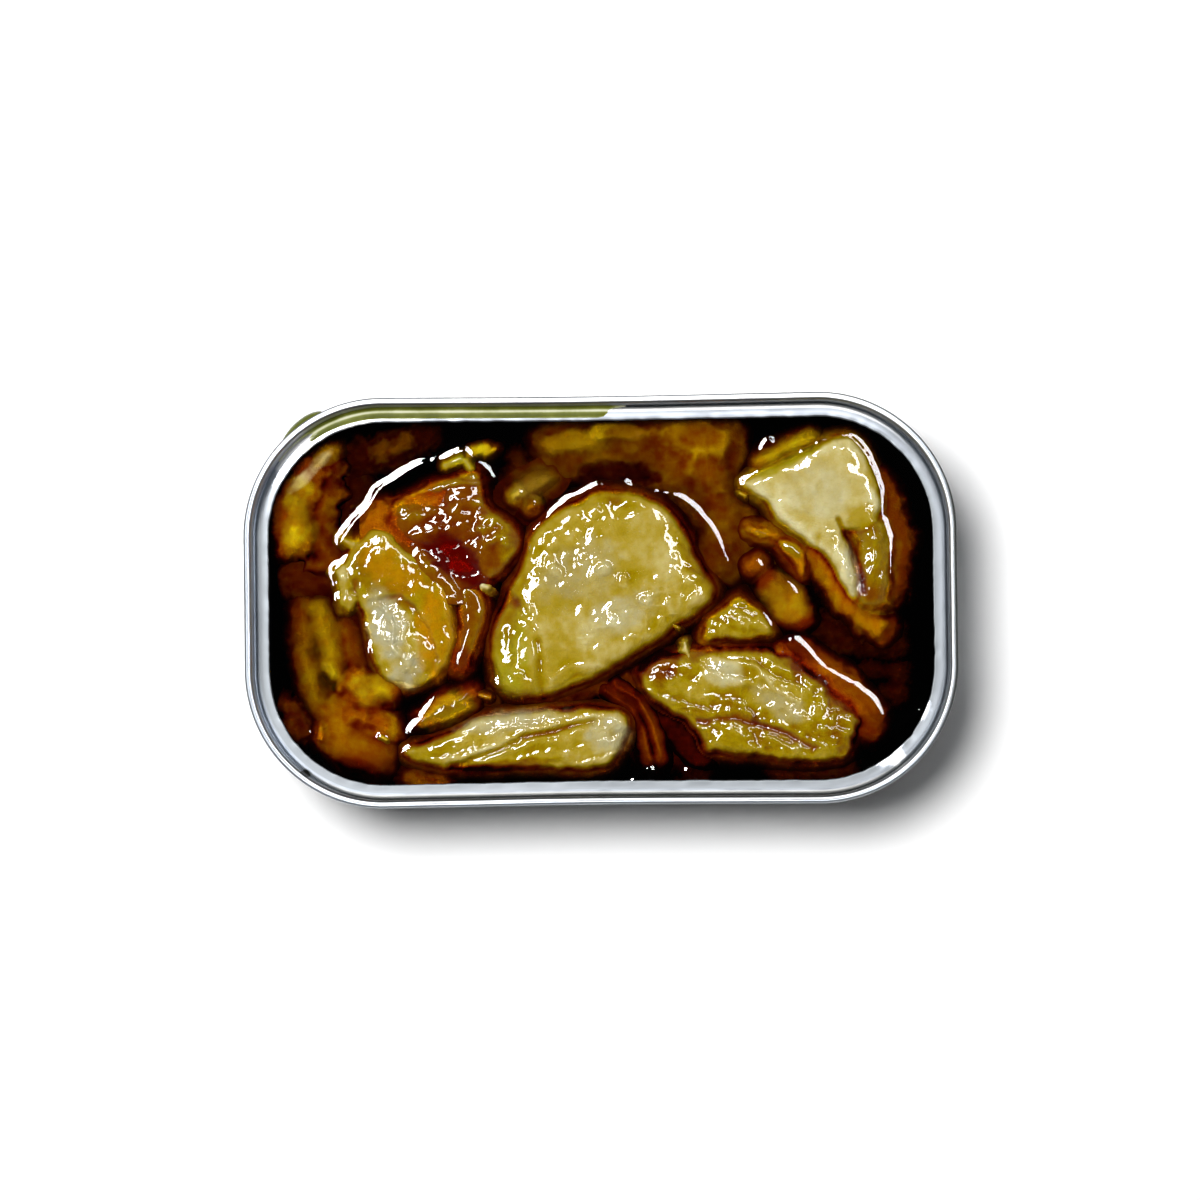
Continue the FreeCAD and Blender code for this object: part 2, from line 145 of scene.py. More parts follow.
def ring_faces(rows, columns):
    """Quads of a grid that closes on itself both ways."""
    across = np.arange(rows)[:, None]
    along = np.arange(columns)[None, :]
    ahead = (along + 1) % columns
    above = (across + 1) % rows
    return np.stack([across * columns + along, across * columns + ahead,
                     above * columns + ahead, above * columns + along], axis=-1).reshape(-1, 4)


def border_of(index):
    """Numbers of the points round the edge of a grid, in order."""
    return np.concatenate([index[0], index[1:, -1], index[-1, -2::-1], index[-2:0:-1, 0]])


def facing_out(points, faces):
    """Quads turned over if the volume that they close comes out negative."""
    first, second, third, fourth = (points[faces[:, corner]] for corner in range(4))
    volume = np.sum(first * np.cross(second, third)) + np.sum(first * np.cross(third, fourth))
    return faces if volume > 0 else faces[:, ::-1]


def put_mesh(name, points, faces, smooth, finish):
    """An object from points in millimetres, riding on the tin."""
    mesh = bpy.data.meshes.new(name)
    mesh.from_pydata((points * MM).tolist(), [], faces)
    mesh.polygons.foreach_set("use_smooth", smooth)
    mesh.materials.append(finish)
    piece = bpy.data.objects.new(name, mesh)
    bpy.context.scene.collection.objects.link(piece)
    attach(piece, "root")
    return piece


def put_piece(name, points, faces, finish, values, places=None):
    """A closed mesh of quads from points in millimetres, riding on the tin.

    Values are named numbers for each point, and places a named position for each.
    """
    piece = put_mesh(name, points, facing_out(points, faces).tolist(), [True] * len(faces), finish)
    kept = piece.data.attributes
    for label, numbers in values.items():
        kept.new(label, "FLOAT", "POINT").data.foreach_set("value", numbers.astype(np.float32))
    for label, vectors in (places or {}).items():
        store = kept.new(label, "FLOAT_VECTOR", "POINT").data
        store.foreach_set("vector", vectors.astype(np.float32).ravel())
    return piece


# ---------------------------------------------------------------- shader maths


class Value:
    """A number or colour in a finish's nodes; Python's operators on it add Math nodes."""

    def __init__(self, finish, socket):
        self.finish = finish
        self.socket = socket

    def combine(self, operation, first, second):
        """Value of a Math node on two values, one of which may be a plain number."""
        node = self.finish.add("ShaderNodeMath", {"operation": operation}, {0: first, 1: second})
        return Value(self.finish, node.outputs[0])

    def __add__(self, other):
        return self.combine("ADD", self, other)

    def __mul__(self, other):
        return self.combine("MULTIPLY", self, other)

    def __sub__(self, other):
        return self.combine("SUBTRACT", self, other)

    def __rsub__(self, other):
        return self.combine("SUBTRACT", other, self)

    __radd__ = __add__
    __rmul__ = __mul__

    def between(self, low, high, to_low=0.0, to_high=1.0):
        """Smooth step of the value from one range to another."""
        node = self.finish.add("ShaderNodeMapRange", {"interpolation_type": "SMOOTHSTEP"},
                               {0: self, 1: low, 2: high, 3: to_low, 4: to_high})
        return Value(self.finish, node.outputs[0])


class Finish:
    """A material, or the world, made of nodes."""

    def __init__(self, name, kind="Material"):
        store = bpy.data.materials if kind == "Material" else bpy.data.worlds
        self.made = store.new(name)
        self.made.use_nodes = True
        self.tree = self.made.node_tree
        self.tree.nodes.clear()
        self.output = self.add("ShaderNodeOutput" + kind)

    def add(self, kind, settings=None, sockets=None):
        """A node: its settings first, then the values or links of its sockets."""
        node = self.tree.nodes.new(kind)
        for name, value in (settings or {}).items():
            if name == "stops":
                set_stops(node.color_ramp, value)
            else:
                setattr(node, name, value)
        for name, value in (sockets or {}).items():
            self.plug(node.inputs[name], value)
        return node

    def plug(self, socket, value):
        """Link a value, a node's first output or a plain number or colour to a socket."""
        if isinstance(value, Value):
            self.tree.links.new(value.socket, socket)
        elif isinstance(value, bpy.types.Node):
            self.tree.links.new(value.outputs[0], socket)
        elif isinstance(value, bpy.types.NodeSocket):
            self.tree.links.new(value, socket)
        elif isinstance(value, tuple) and len(value) == 3 and socket.type == "RGBA":
            socket.default_value = (*value, 1.0)
        else:
            socket.default_value = value

    def places(self):
        """Object coordinates in millimetres."""
        where = self.add("ShaderNodeTexCoord").outputs["Object"]
        return self.add("ShaderNodeMapping", {}, {"Vector": where, "Scale": (1 / MM,) * 3})

    def strip(self, along, across):
        """Places on swept sheet, in lumps this long and this wide; the sheet keeps them as an attribute."""
        where = self.add("ShaderNodeAttribute", {"attribute_name": "strip"}).outputs["Vector"]
        scale = (1 / along, 1 / along, 1 / across)
        return self.add("ShaderNodeMapping", {}, {"Vector": where, "Scale": scale})

    def noise(self, size, detail=3.0, roughness=0.5, where=None):
        """Noise whose lumps are about this many millimetres across."""
        node = self.add("ShaderNodeTexNoise", {}, {
            "Vector": where or self.places(), "Scale": 1.0 / size, "Detail": detail, "Roughness": roughness})
        return Value(self, node.outputs["Fac"])

    def attribute(self, name):
        """A number kept at each point of the mesh."""
        return Value(self, self.add("ShaderNodeAttribute", {"attribute_name": name}).outputs["Fac"])

    def ramp(self, value, stops):
        """Colour for a value, blended between stops."""
        return self.add("ShaderNodeValToRGB", {"stops": stops}, {0: value}).outputs[0]

    def mix(self, share, first, second):
        """Colour between two."""
        return self.add("ShaderNodeMix", {"data_type": "RGBA"}, {0: share, 6: first, 7: second}).outputs[2]

    def bump(self, height, depth):
        """Bump whose full height is a depth in millimetres."""
        return self.add("ShaderNodeBump", {}, {"Height": height, "Distance": depth * MM}).outputs[0]

    def surface(self, shader):
        """The material or world, with the shader as its surface."""
        self.plug(self.output.inputs["Surface"], shader)
        return self.made


def set_stops(ramp, stops):
    """Places and colours of a colour ramp."""
    while len(ramp.elements) < len(stops):
        ramp.elements.new(0.5)
    for element, (place, colour) in zip(ramp.elements, stops):
        element.position = place
        element.color = (*colour, 1.0)


def shade(red, green, blue):
    """A colour given by display values from 0 to 255, in the linear light that shaders use."""
    parts = (part / 255 for part in (red, green, blue))
    return tuple(part / 12.92 if part <= 0.04045 else ((part + 0.055) / 1.055) ** 2.4 for part in parts)


# ---------------------------------------------------------------- finishes

FLESH_TONES = [
    (0.00, shade(30, 1, 0)),
    (0.12, shade(80, 14, 1)),
    (0.25, shade(100, 38, 1)),
    (0.38, shade(118, 66, 1)),
    (0.50, shade(132, 98, 1)),
    (0.62, shade(150, 126, 4)),
    (0.74, shade(166, 142, 42)),
    (0.87, shade(186, 168, 96)),
    (1.00, shade(208, 198, 146)),
]
STAINS = {"grey": shade(168, 162, 128), "amber": shade(176, 120, 2), "olive": shade(150, 145, 12),
          "red": shade(76, 1, 0)}


def flesh_finish():
    """Oily cod: tone runs from dark red where soaked to cream, with fibres, pits and a wet coat."""
    finish = Finish("oily_cod")
    cloudy = finish.noise(4.5, detail=3)
    mottled = finish.noise(0.9, detail=3, roughness=0.6)
    kept = finish.attribute("tone")
    tone = kept + ((cloudy - 0.5) * 0.22 + (mottled - 0.5) * 0.14) * kept.between(0.1, 0.5, 0.35, 1.0)
    colour = finish.ramp(tone, FLESH_TONES)
    for name, stain in STAINS.items():
        colour = finish.mix(finish.attribute(name), colour, stain)
    wet = finish.noise(1.6, detail=2).between(0.35, 0.65)
    pores = finish.noise(0.28, detail=2, roughness=0.6) + finish.noise(0.75, detail=2) * 1.4
    shader = finish.add("ShaderNodeBsdfPrincipled", {}, {
        "Base Color": colour,
        "Roughness": 0.6 - wet * 0.1,
        "Specular IOR Level": 0.0,
        "Normal": finish.bump(pores, 0.16),
        "Coat Weight": finish.attribute("bare"),
        "Coat Roughness": 0.05,
        "Coat IOR": 1.47,
        "Subsurface Weight": 0.12,
        "Subsurface Radius": (0.9, 0.45, 0.1),
        "Subsurface Scale": 1.2 * MM,
    })
    return finish.surface(shader)


def sheet_finish(name, grey, dull, bright, waves):
    """Bare rolled sheet: streaks along the rolling, greasy patches, and a shade kept at each point, which
    paints light and shade into its colour.

    Shade runs from 1, painted dark shade, through 0, the sheet's own grey, to -1, painted white highlight;
    away from 0 the sheet is also rougher.
    """
    finish = Finish(name)
    streaks = finish.noise(1.0, detail=3, roughness=0.6, where=finish.strip(5.0, 0.16))
    patches = finish.noise(1.0, detail=4, roughness=0.6, where=finish.strip(3.0, 0.9))
    swells = finish.noise(1.0, detail=2, where=finish.strip(9.0, 2.5))
    # The shade kept at each point is painted light: it darkens the colour towards shade and whitens it
    # towards a highlight.
    kept = finish.attribute("shade")
    shine = (patches.between(0.3, 0.7, bright, dull) + (streaks - 0.5) * 0.06
             + kept.between(-0.1, -1.0, 0.0, 0.22) + kept.between(0.3, 1.0, 0.0, 0.25))
    shader = finish.add("ShaderNodeBsdfPrincipled", {}, {
        "Base Color": finish.ramp(kept * 0.5 + 0.5, [(0.0, (0.97, 0.97, 0.96)), (0.5, grey),
                                                     (1.0, (0.05, 0.052, 0.045))]),
        "Metallic": 1.0,
        "Roughness": shine,
        "Normal": finish.bump(swells * 2.0 + streaks * 0.1, waves),
    })
    return finish.surface(shader)


def oil_finish():
    """Clear dark oil: light is bent at its surface and fades to red, then black, on its way through."""
    finish = Finish("dark_oil")
    clear = finish.add("ShaderNodeBsdfPrincipled", {}, {
        "Base Color": (1.0, 1.0, 1.0),
        "Roughness": 0.0,
        "IOR": 1.47,
        "Transmission Weight": 1.0,
    })
    lit = finish.add("ShaderNodeLightPath").outputs["Is Shadow Ray"]
    passing = finish.add("ShaderNodeBsdfTransparent", {}, {"Color": (1.0, 1.0, 1.0)})
    shader = finish.add("ShaderNodeMixShader", {}, {0: lit, 1: clear, 2: passing})
    haze = finish.add("ShaderNodeVolumeAbsorption", {}, {"Color": (0.60, 0.42, 0.02), "Density": 790.0})
    finish.plug(finish.output.inputs["Volume"], haze)
    return finish.surface(shader)


def film_finish():
    """Oil that clings thinly to the rim: olive green, paler where it thins out, and palest along the bead,
    where the pale is a painted highlight.
    """
    finish = Finish("olive_film")
    thin = finish.attribute("thin") + (finish.noise(0.8, detail=3) - 0.5) * 0.25
    shader = finish.add("ShaderNodeBsdfPrincipled", {}, {
        "Base Color": finish.ramp(thin, [(0.0, shade(82, 88, 10)), (0.3, shade(112, 116, 34)),
                                         (0.7, shade(170, 174, 120)), (1.0, shade(214, 214, 186))]),
        "Roughness": 0.35,
        "Specular IOR Level": 0.3,
        "Coat Weight": 0.6,
        "Coat Roughness": 0.08,
        "Normal": finish.bump(finish.noise(1.2), 0.06),
    })
    return finish.surface(shader)


FLESH_FINISH = flesh_finish()
RIM_FINISH = sheet_finish("bright_rim", (0.50, 0.54, 0.60), 0.37, 0.32, 0.03)
BODY_FINISH = sheet_finish("rolled_body", (0.66, 0.68, 0.70), 0.42, 0.34, 0.04)
OIL_FINISH = oil_finish()
FILM_FINISH = film_finish()

# ---------------------------------------------------------------- cod

STEP = 0.2  # spacing of the points on a piece
WIDEST = OIL_LEVEL - 0.9  # height at which a piece is widest
BED = OIL_LEVEL - 7.0  # height at which its side goes straight down
WALL_GAP = 1.3  # how far inside the tin's outline all flesh stays
HEEL_REACH, HEEL_RISE = 4.5, 3.0  # how far in the tin's round heel comes, and how far flesh is lifted off it
FLESH = []  # each piece of flesh and its points, for the oil to find


def cut_at(node, height):
    """Short runs where a level plane cuts a CAD piece: one for each triangle that crosses it."""
    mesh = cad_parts[node].data
    places = np.zeros(len(mesh.vertices) * 3)
    mesh.vertices.foreach_get("co", places)
    places = places.reshape(-1, 3) / MM
    mesh.calc_loop_triangles()
    corners = np.zeros(len(mesh.loop_triangles) * 3, np.int32)
    mesh.loop_triangles.foreach_get("vertices", corners)
    triangles = places[corners.reshape(-1, 3)]
    above = triangles[..., 2] > height
    triangles = triangles[above.any(axis=1) & ~above.all(axis=1)]
    starts, ends = triangles, np.roll(triangles, -1, axis=1)
    crossing = (starts[..., 2] > height) != (ends[..., 2] > height)
    share = (height - starts[..., 2]) / np.where(crossing, ends[..., 2] - starts[..., 2], 1.0)
    hits = (starts + share[..., None] * (ends - starts))[..., :2]
    return hits[crossing].reshape(-1, 2, 2)


def from_runs(runs, x, y):
    """Least distance to a set of straight runs."""
    best = np.full(x.shape, np.inf)
    for (start_x, start_y), (end_x, end_y) in runs:
        run_x, run_y = end_x - start_x, end_y - start_y
        share = ((x - start_x) * run_x + (y - start_y) * run_y) / max(run_x**2 + run_y**2, 1e-9)
        share = np.clip(share, 0, 1)
        gap = (x - start_x - share * run_x) ** 2 + (y - start_y - share * run_y) ** 2
        best = np.minimum(best, gap)
    return np.sqrt(best)


def within(runs, x, y):
    """Distance in from a closed outline given as runs, negative outside.

    A place is inside when a line from it to the right crosses the outline an odd number of times.
    """
    crossed = np.zeros(x.shape, bool)
    for (start_x, start_y), (end_x, end_y) in runs:
        if start_y == end_y:
            continue
        meets = x < start_x + (y - start_y) * (end_x - start_x) / (end_y - start_y)
        crossed ^= ((start_y > y) != (end_y > y)) & meets
    return from_runs(runs, x, y) * np.where(crossed, 1, -1)


def line_runs(points):
    """Runs of a bent line."""
    points = np.array(points, float).reshape(-1, 2)
    return np.stack([points[:-1], points[1:]], axis=1)


def shouldered(inside, top, shoulder, fall):
    """Height of a lump by the distance in from its outline, which lies at WIDEST, or lower on a sunk lump.

    Inside, a steep shoulder takes 80% of the rise and a slow swell the rest. Outside, it falls by the
    distance plus 1.2 times its power of 2.4, all times the fall.
    """
    into = np.maximum(inside, 0)
    out = np.maximum(-inside, 0)
    edge = np.minimum(WIDEST, top - 1.0)
    rise = 0.8 * (1 - np.exp(-into / shoulder)) + 0.2 * (1 - np.exp(-((into / (8 * shoulder)) ** 1.5)))
    return edge + (top - edge) * rise - fall * (out + 1.2 * out**2.4)


def blurred(heights, reach):
    """Grid averaged with its neighbours by a bell curve, reach in steps."""
    span = int(2.5 * reach) + 1
    weights = np.exp(-0.5 * (np.arange(-span, span + 1) / reach) ** 2)
    weights /= weights.sum()
    for axis in (0, 1):
        padded = np.pad(heights, [(span, span) if side == axis else (0, 0) for side in (0, 1)], mode="edge")
        count = heights.shape[axis]
        heights = sum(weight * np.take(padded, range(shift, shift + count), axis=axis)
                      for shift, weight in enumerate(weights))
    return heights


def crests(places, size, seed):
    """Thin winding crests, from 0 to 1: smooth noise folded at its middle value."""
    return np.maximum(0, 1 - 2.2 * np.abs(lump(places, size, seed))) ** 2


class Flesh:
    """One piece of cod as a height and a tone at each place of a level grid.

    Tone runs from 0, soaked dark red, to 1, cream. Rough is how strongly the surface is broken up.
    """

    def __init__(self, node, seed, tone, slot="cod", sink=0.0, shoulder=0.35, ragged=0.3, margin=3.0,
                 tilt=(0.0, 0.0), rough=0.5, area=None, fall=1.0):
        self.node, self.seed, self.slot, self.fall = node, seed, slot, fall
        runs = cut_at(node, WIDEST) if area is None else None
        corners = runs.reshape(-1, 2) if area is None else np.array(area, float)
        sides = [np.arange(side.min() - margin, side.max() + margin, STEP) for side in corners.T]
        self.x, self.y = np.meshgrid(*sides, indexing="ij")
        self.places = flat3(self.x, self.y, seed * 7.3)
        self.tone = np.full(self.x.shape, tone)
        self.rough = np.full(self.x.shape, rough)
        self.stains = {name: np.zeros(self.x.shape) for name in STAINS}
        if area is not None:
            self.foot = BED - 2
            self.inside = np.full(self.x.shape, 1.0)
            self.height = np.full(self.x.shape, BED - 1)
            return
        low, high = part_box(node)
        self.foot = low.z / MM
        self.inside = within(runs, self.x, self.y) + ragged * rough_lumps(self.places, 2.6, seed + 1, 4, 0.6)
        middle = corners.mean(axis=0)
        top = high.z / MM - sink + tilt[0] * (self.x - middle[0]) + tilt[1] * (self.y - middle[1])
        self.height = shouldered(blurred(self.inside, 1.5), top, shoulder, fall)

    def bell(self, x, y, half_long, half_wide, degrees):
        """Soft uneven hill, 1 at its middle and 0 from about its half lengths outwards."""
        along, across = turned(self.x - x, self.y - y, degrees)
        radius = np.hypot(along / half_long, across / half_wide)
        radius = radius + 0.25 * rough_lumps(self.places, 2.2, self.seed + 40)
        return 1 - step_between(0.55, 1.2, radius)

    def mound(self, points, half_width, top, tone, shoulder=0.5, ragged=0.35, soft=0.15):
        """Another lump of the piece along a bent line; the higher of the two shows."""
        inside = half_width - from_runs(line_runs(points), self.x, self.y)
        inside = inside + ragged * rough_lumps(self.places, 1.8, self.seed + 60, 3)
        height = shouldered(inside, top, shoulder, self.fall)
        over = height - self.height
        self.tone = self.tone + step_between(-soft, soft, over) * (tone - self.tone)
        self.height = self.height + (over + np.sqrt(over**2 + 0.25 * soft**2)) / 2

    def each(self, kind, *rows):
        """The same feature once for each row of its numbers, in the order that its own method takes them."""
        for row in rows:
            getattr(self, kind)(*row)

    def patch(self, x, y, half_long, half_wide, degrees, tone, strength=1.0):
        """Tone drawn towards another within a soft ellipse."""
        self.tone = self.tone + strength * self.bell(x, y, half_long, half_wide, degrees) * (tone - self.tone)

    def stain(self, name, x, y, half_long, half_wide, degrees, share):
        """Colour drawn towards a stain's within a soft ellipse, more on some fibres than on others."""
        streaks = 0.75 + 0.35 * rough_lumps(self.places, 1.1, self.seed + 90)
        strength = share * streaks * self.bell(x, y, half_long, half_wide, degrees)
        self.stains[name] = np.maximum(self.stains[name], strength)

    def swell(self, x, y, half_long, half_wide, degrees, lift):
        """Height raised or sunk within a soft ellipse."""
        self.height = self.height + lift * self.bell(x, y, half_long, half_wide, degrees)

    def roughen(self, x, y, half_long, half_wide, degrees, rough):
        """Roughness drawn towards another within a soft ellipse."""
        self.rough = self.rough + self.bell(x, y, half_long, half_wide, degrees) * (rough - self.rough)

    def seam(self, points, half_width, lift, tone=0.0, wander=0.25):
        """Ridge, or with a negative lift a crease, along a bent line: lift times a bell curve across it. Tone
        changes by the same curve; the pieces darken their creases, painted shade, and lighten some of their
        ridges, painted highlight.
        """
        reach = from_runs(line_runs(points), self.x + wander * lump(self.places, 1.9, self.seed + 70),
                          self.y + wander * lump(self.places, 1.9, self.seed + 71))
        share = np.exp(-((reach / half_width) ** 2))
        self.height = self.height + lift * share
        self.tone = self.tone + tone * share

    def ledge(self, points, drop, soft=0.25, reach=6.0, tone=0.0):
        """Edge of a layer along a bent line: right of it the surface is lower, then climbs back slowly, and
        its tone changes there by the given amount; the pieces darken it, painted shade under the step.
        """
        best, side = np.full(self.x.shape, np.inf), np.zeros(self.x.shape)
        wander = 0.35 * rough_lumps(self.places, 2.0, self.seed + 80, 3)
        for (start_x, start_y), (end_x, end_y) in line_runs(points):
            run = math.hypot(end_x - start_x, end_y - start_y)
            run_x, run_y = (end_x - start_x) / run, (end_y - start_y) / run
            along = np.clip((self.x - start_x) * run_x + (self.y - start_y) * run_y, 0, run)
            gap_x, gap_y = self.x - start_x - along * run_x, self.y - start_y - along * run_y
            gap = np.hypot(gap_x, gap_y)
            side = np.where(gap < best, gap_x * run_y - gap_y * run_x, side)
            best = np.minimum(gap, best)
        side = side + wander
        ends = np.exp(-np.maximum(best - np.abs(side), 0) / 1.5)
        below = step_between(-soft, soft, side) * np.exp(-np.maximum(side, 0) / reach) * ends
        self.height = self.height - drop * below
        self.tone = self.tone + tone * below

    def flakes(self, degrees, pitch, lift, bend=0.0, mask=1.0):
        """Overlapping layers: each climbs slowly over the pitch and breaks off at its edge. Tone follows the
        climb a little, darkest where a layer breaks off and the next begins: painted shade.
        """
        along, across = turned(self.x - self.x.mean(), self.y - self.y.mean(), degrees)
        across = across + bend * along**2 + 0.35 * pitch * lump(self.places, 4.5, self.seed + 5)
        across = across + 0.12 * pitch * rough_lumps(self.places, 1.2, self.seed + 6)
        whole = np.floor(across / pitch)
        part = across / pitch - whole
        uneven = 0.5 + 0.5 * hashed(whole.astype(np.int64), 0, 0, self.seed)
        lifted = uneven * part * (1 - step_between(0.8, 1, part))
        self.height = self.height + lift * lifted * mask
        self.tone = self.tone + 0.05 * (lifted - 0.3) * mask
        fibre = lump(flat3(along / 6.0, across / 0.45, self.seed), 1.0, self.seed + 8)
        self.height = self.height + 0.22 * lift * fibre * mask

    def finish(self, edge_tone=0.3, edge_width=1.0, swell=0.22):
        """Adds what is fine, then makes the mesh: a grid over the piece, sides to its foot and a floor."""
        above = step_between(-1.0, 0.6, self.inside)
        swelling = rough_lumps(self.places, 5.0, self.seed + 2, 3, 0.5)
        middling = rough_lumps(self.places, 1.8, self.seed + 3, 2, 0.5)
        fine = (0.15 * crests(self.places, 1.5, self.seed + 9)
                + 0.07 * crests(self.places, 0.8, self.seed + 10))
        self.height = (self.height + swell * swelling + (0.03 + 0.13 * self.rough) * middling * above
                       + self.rough * fine * above)
        # Tone is lowered in hollows and on steep flanks as painted shade; it is also lowered along the
        # outline, and raised a little on swellings, lumps and crests.
        hollow_shade = np.clip(blurred(self.height, 4.0) - self.height, -0.3, 0.5) * above
        edge = np.exp(-np.abs(self.inside) / edge_width)
        steep_shade = step_between(0.7, 2.4, np.hypot(*np.gradient(blurred(self.height, 1.0), STEP)))
        self.tone = (self.tone - edge_tone * edge - 0.2 * steep_shade - 0.45 * hollow_shade + 0.05 * swelling
                     + 0.04 * middling + 0.25 * self.rough * fine)
        self.height = np.where(inside_tin(self.x, self.y, WALL_GAP) < 0, self.height, BED - 1)
        kept = self.height > BED
        cells = kept[:-1, :-1] | kept[1:, :-1] | kept[:-1, 1:] | kept[1:, 1:]
        used = np.zeros(self.height.shape, bool)
        for row in (slice(None, -1), slice(1, None)):
            for column in (slice(None, -1), slice(1, None)):
                used[row, column] |= cells
        number = np.cumsum(used).reshape(used.shape) - 1
        count = int(used.sum())
        heights = np.maximum(self.height, BED)
        top = np.stack([self.x, self.y, heights], axis=-1)[used]
        feet = self.foot + np.clip(inside_tin(self.x, self.y, HEEL_REACH), 0, HEEL_RISE)
        floor = np.stack([self.x, self.y, feet], axis=-1)[used]
        shifted = (number[:-1, :-1], number[1:, :-1], number[1:, 1:], number[:-1, 1:])
        corners = [part[cells] for part in shifted]
        upper = np.stack(corners, axis=-1)
        lower = upper[:, ::-1] + count
        pad = np.pad(cells, 1)
        sides = []
        for shift_x, shift_y, first, second in ((0, -1, 0, 1), (1, 0, 1, 2), (0, 1, 2, 3), (-1, 0, 3, 0)):
            beyond = pad[1 + shift_x:pad.shape[0] - 1 + shift_x, 1 + shift_y:pad.shape[1] - 1 + shift_y]
            open_edge = ~beyond[cells]
            start, end = corners[first][open_edge], corners[second][open_edge]
            sides.append(np.stack([end, start, start + count, end + count], axis=-1))
        faces = np.concatenate([upper, lower, *sides])
        values = {"tone": np.tile(self.tone[used], 2), "bare": np.ones(2 * count)}
        values.update((name, np.tile(np.clip(stain[used], 0, 1), 2)) for name, stain in self.stains.items())
        piece = put_piece(self.node + "_flesh", np.vstack([top, floor]), faces, FLESH_FINISH,
                          values)
        if self.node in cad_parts:
            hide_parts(self.node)
        FLESH.append((piece, top))


def cod_centre():
    """Large smooth block in the middle: cream on top, olive at its edges, folded at its lower end."""
    flesh = Flesh("cod_centre", 11, 0.71, tilt=(0.01, -0.015), ragged=0.25, rough=0.12, shoulder=0.55)
    flesh.each("patch", (7.5, 8, 7.5, 6, -30, 0.8, 0.8), (1, -3.5, 7, 4, 30, 0.84, 0.7),
        (-8, 6, 3.5, 7, -25, 0.68, 0.6), (-13.5, -3, 2.4, 8.5, -8, 0.56, 0.9), (14, 5, 1.6, 6, 30, 0.54, 0.8),
        (-12.5, -11.5, 3.4, 2.4, 20, 0.56, 0.8))
    for x, y in ((-6.5, 4.4), (3.3, 3), (0.6, 4.6), (6.5, 0.2), (13.6, -0.2), (13.4, 3.2), (-1, 13),
                 (-11.3, -1.4)):
        flesh.swell(x, y, 1.3, 1.0, 30 * x, 0.24)
    flesh.each("swell", (-12.8, -12.3, 3, 2.4, 20, 0.35), (5, 8, 8, 6, 0, 0.2))
    flesh.each("seam", ([(-9.4, -5.9), (-9, -10), (-8.6, -14.4)], 0.7, -0.4, -0.12),
        ([(-7.4, -11.5), (-4.5, -9.6), (-0.5, -9.2), (1.5, -10.2)], 0.4, 0.16, 0.06),
        ([(-6.6, -12.6), (-3.5, -10.9), (0.2, -10.6)], 0.35, -0.16, -0.06))
    flesh.ledge([(-14, 2), (-11, -1), (-9, -6)], 0.25, 0.6, 3, -0.05)
    flesh.mound([(-0.2, -4.6), (0.2, -5.2)], 1.2, 25.75, 0.84, 0.25, 0.1)
    flesh.each("patch", (-9.5, 8.5, 2.6, 1.4, 40, 0.58, 0.7), (3, 14.6, 4, 1.4, -10, 0.58, 0.8),
        (12.6, 11, 1.4, 5, 32, 0.5, 0.8), (4.6, 3.6, 2.6, 1.2, 10, 0.6, 0.6))
    flesh.swell(-14.8, -5.6, 8, 2.6, 80, -0.5)
    flesh.each("roughen", (-7, 6, 3.6, 4.2, 0, 0.75), (1.5, 3.5, 3.6, 2.4, 0, 0.6),
        (-11, -2, 1.8, 3.2, 0, 0.8), (5, -2.5, 10, 3.6, 25, 0.85), (-4, 9.5, 2.6, 2, 0, 0.55),
        (13, 3.6, 2.4, 3, 30, 0.6))
    flesh.each("stain", ("grey", -3, 4, 6.5, 5, 20, 0.4), ("grey", 2.5, -2, 6, 3, 25, 0.5),
        ("olive", -13, -8, 3, 6, -10, 0.5))
    flesh.finish(edge_tone=0.42, edge_width=1.1, swell=0.2)


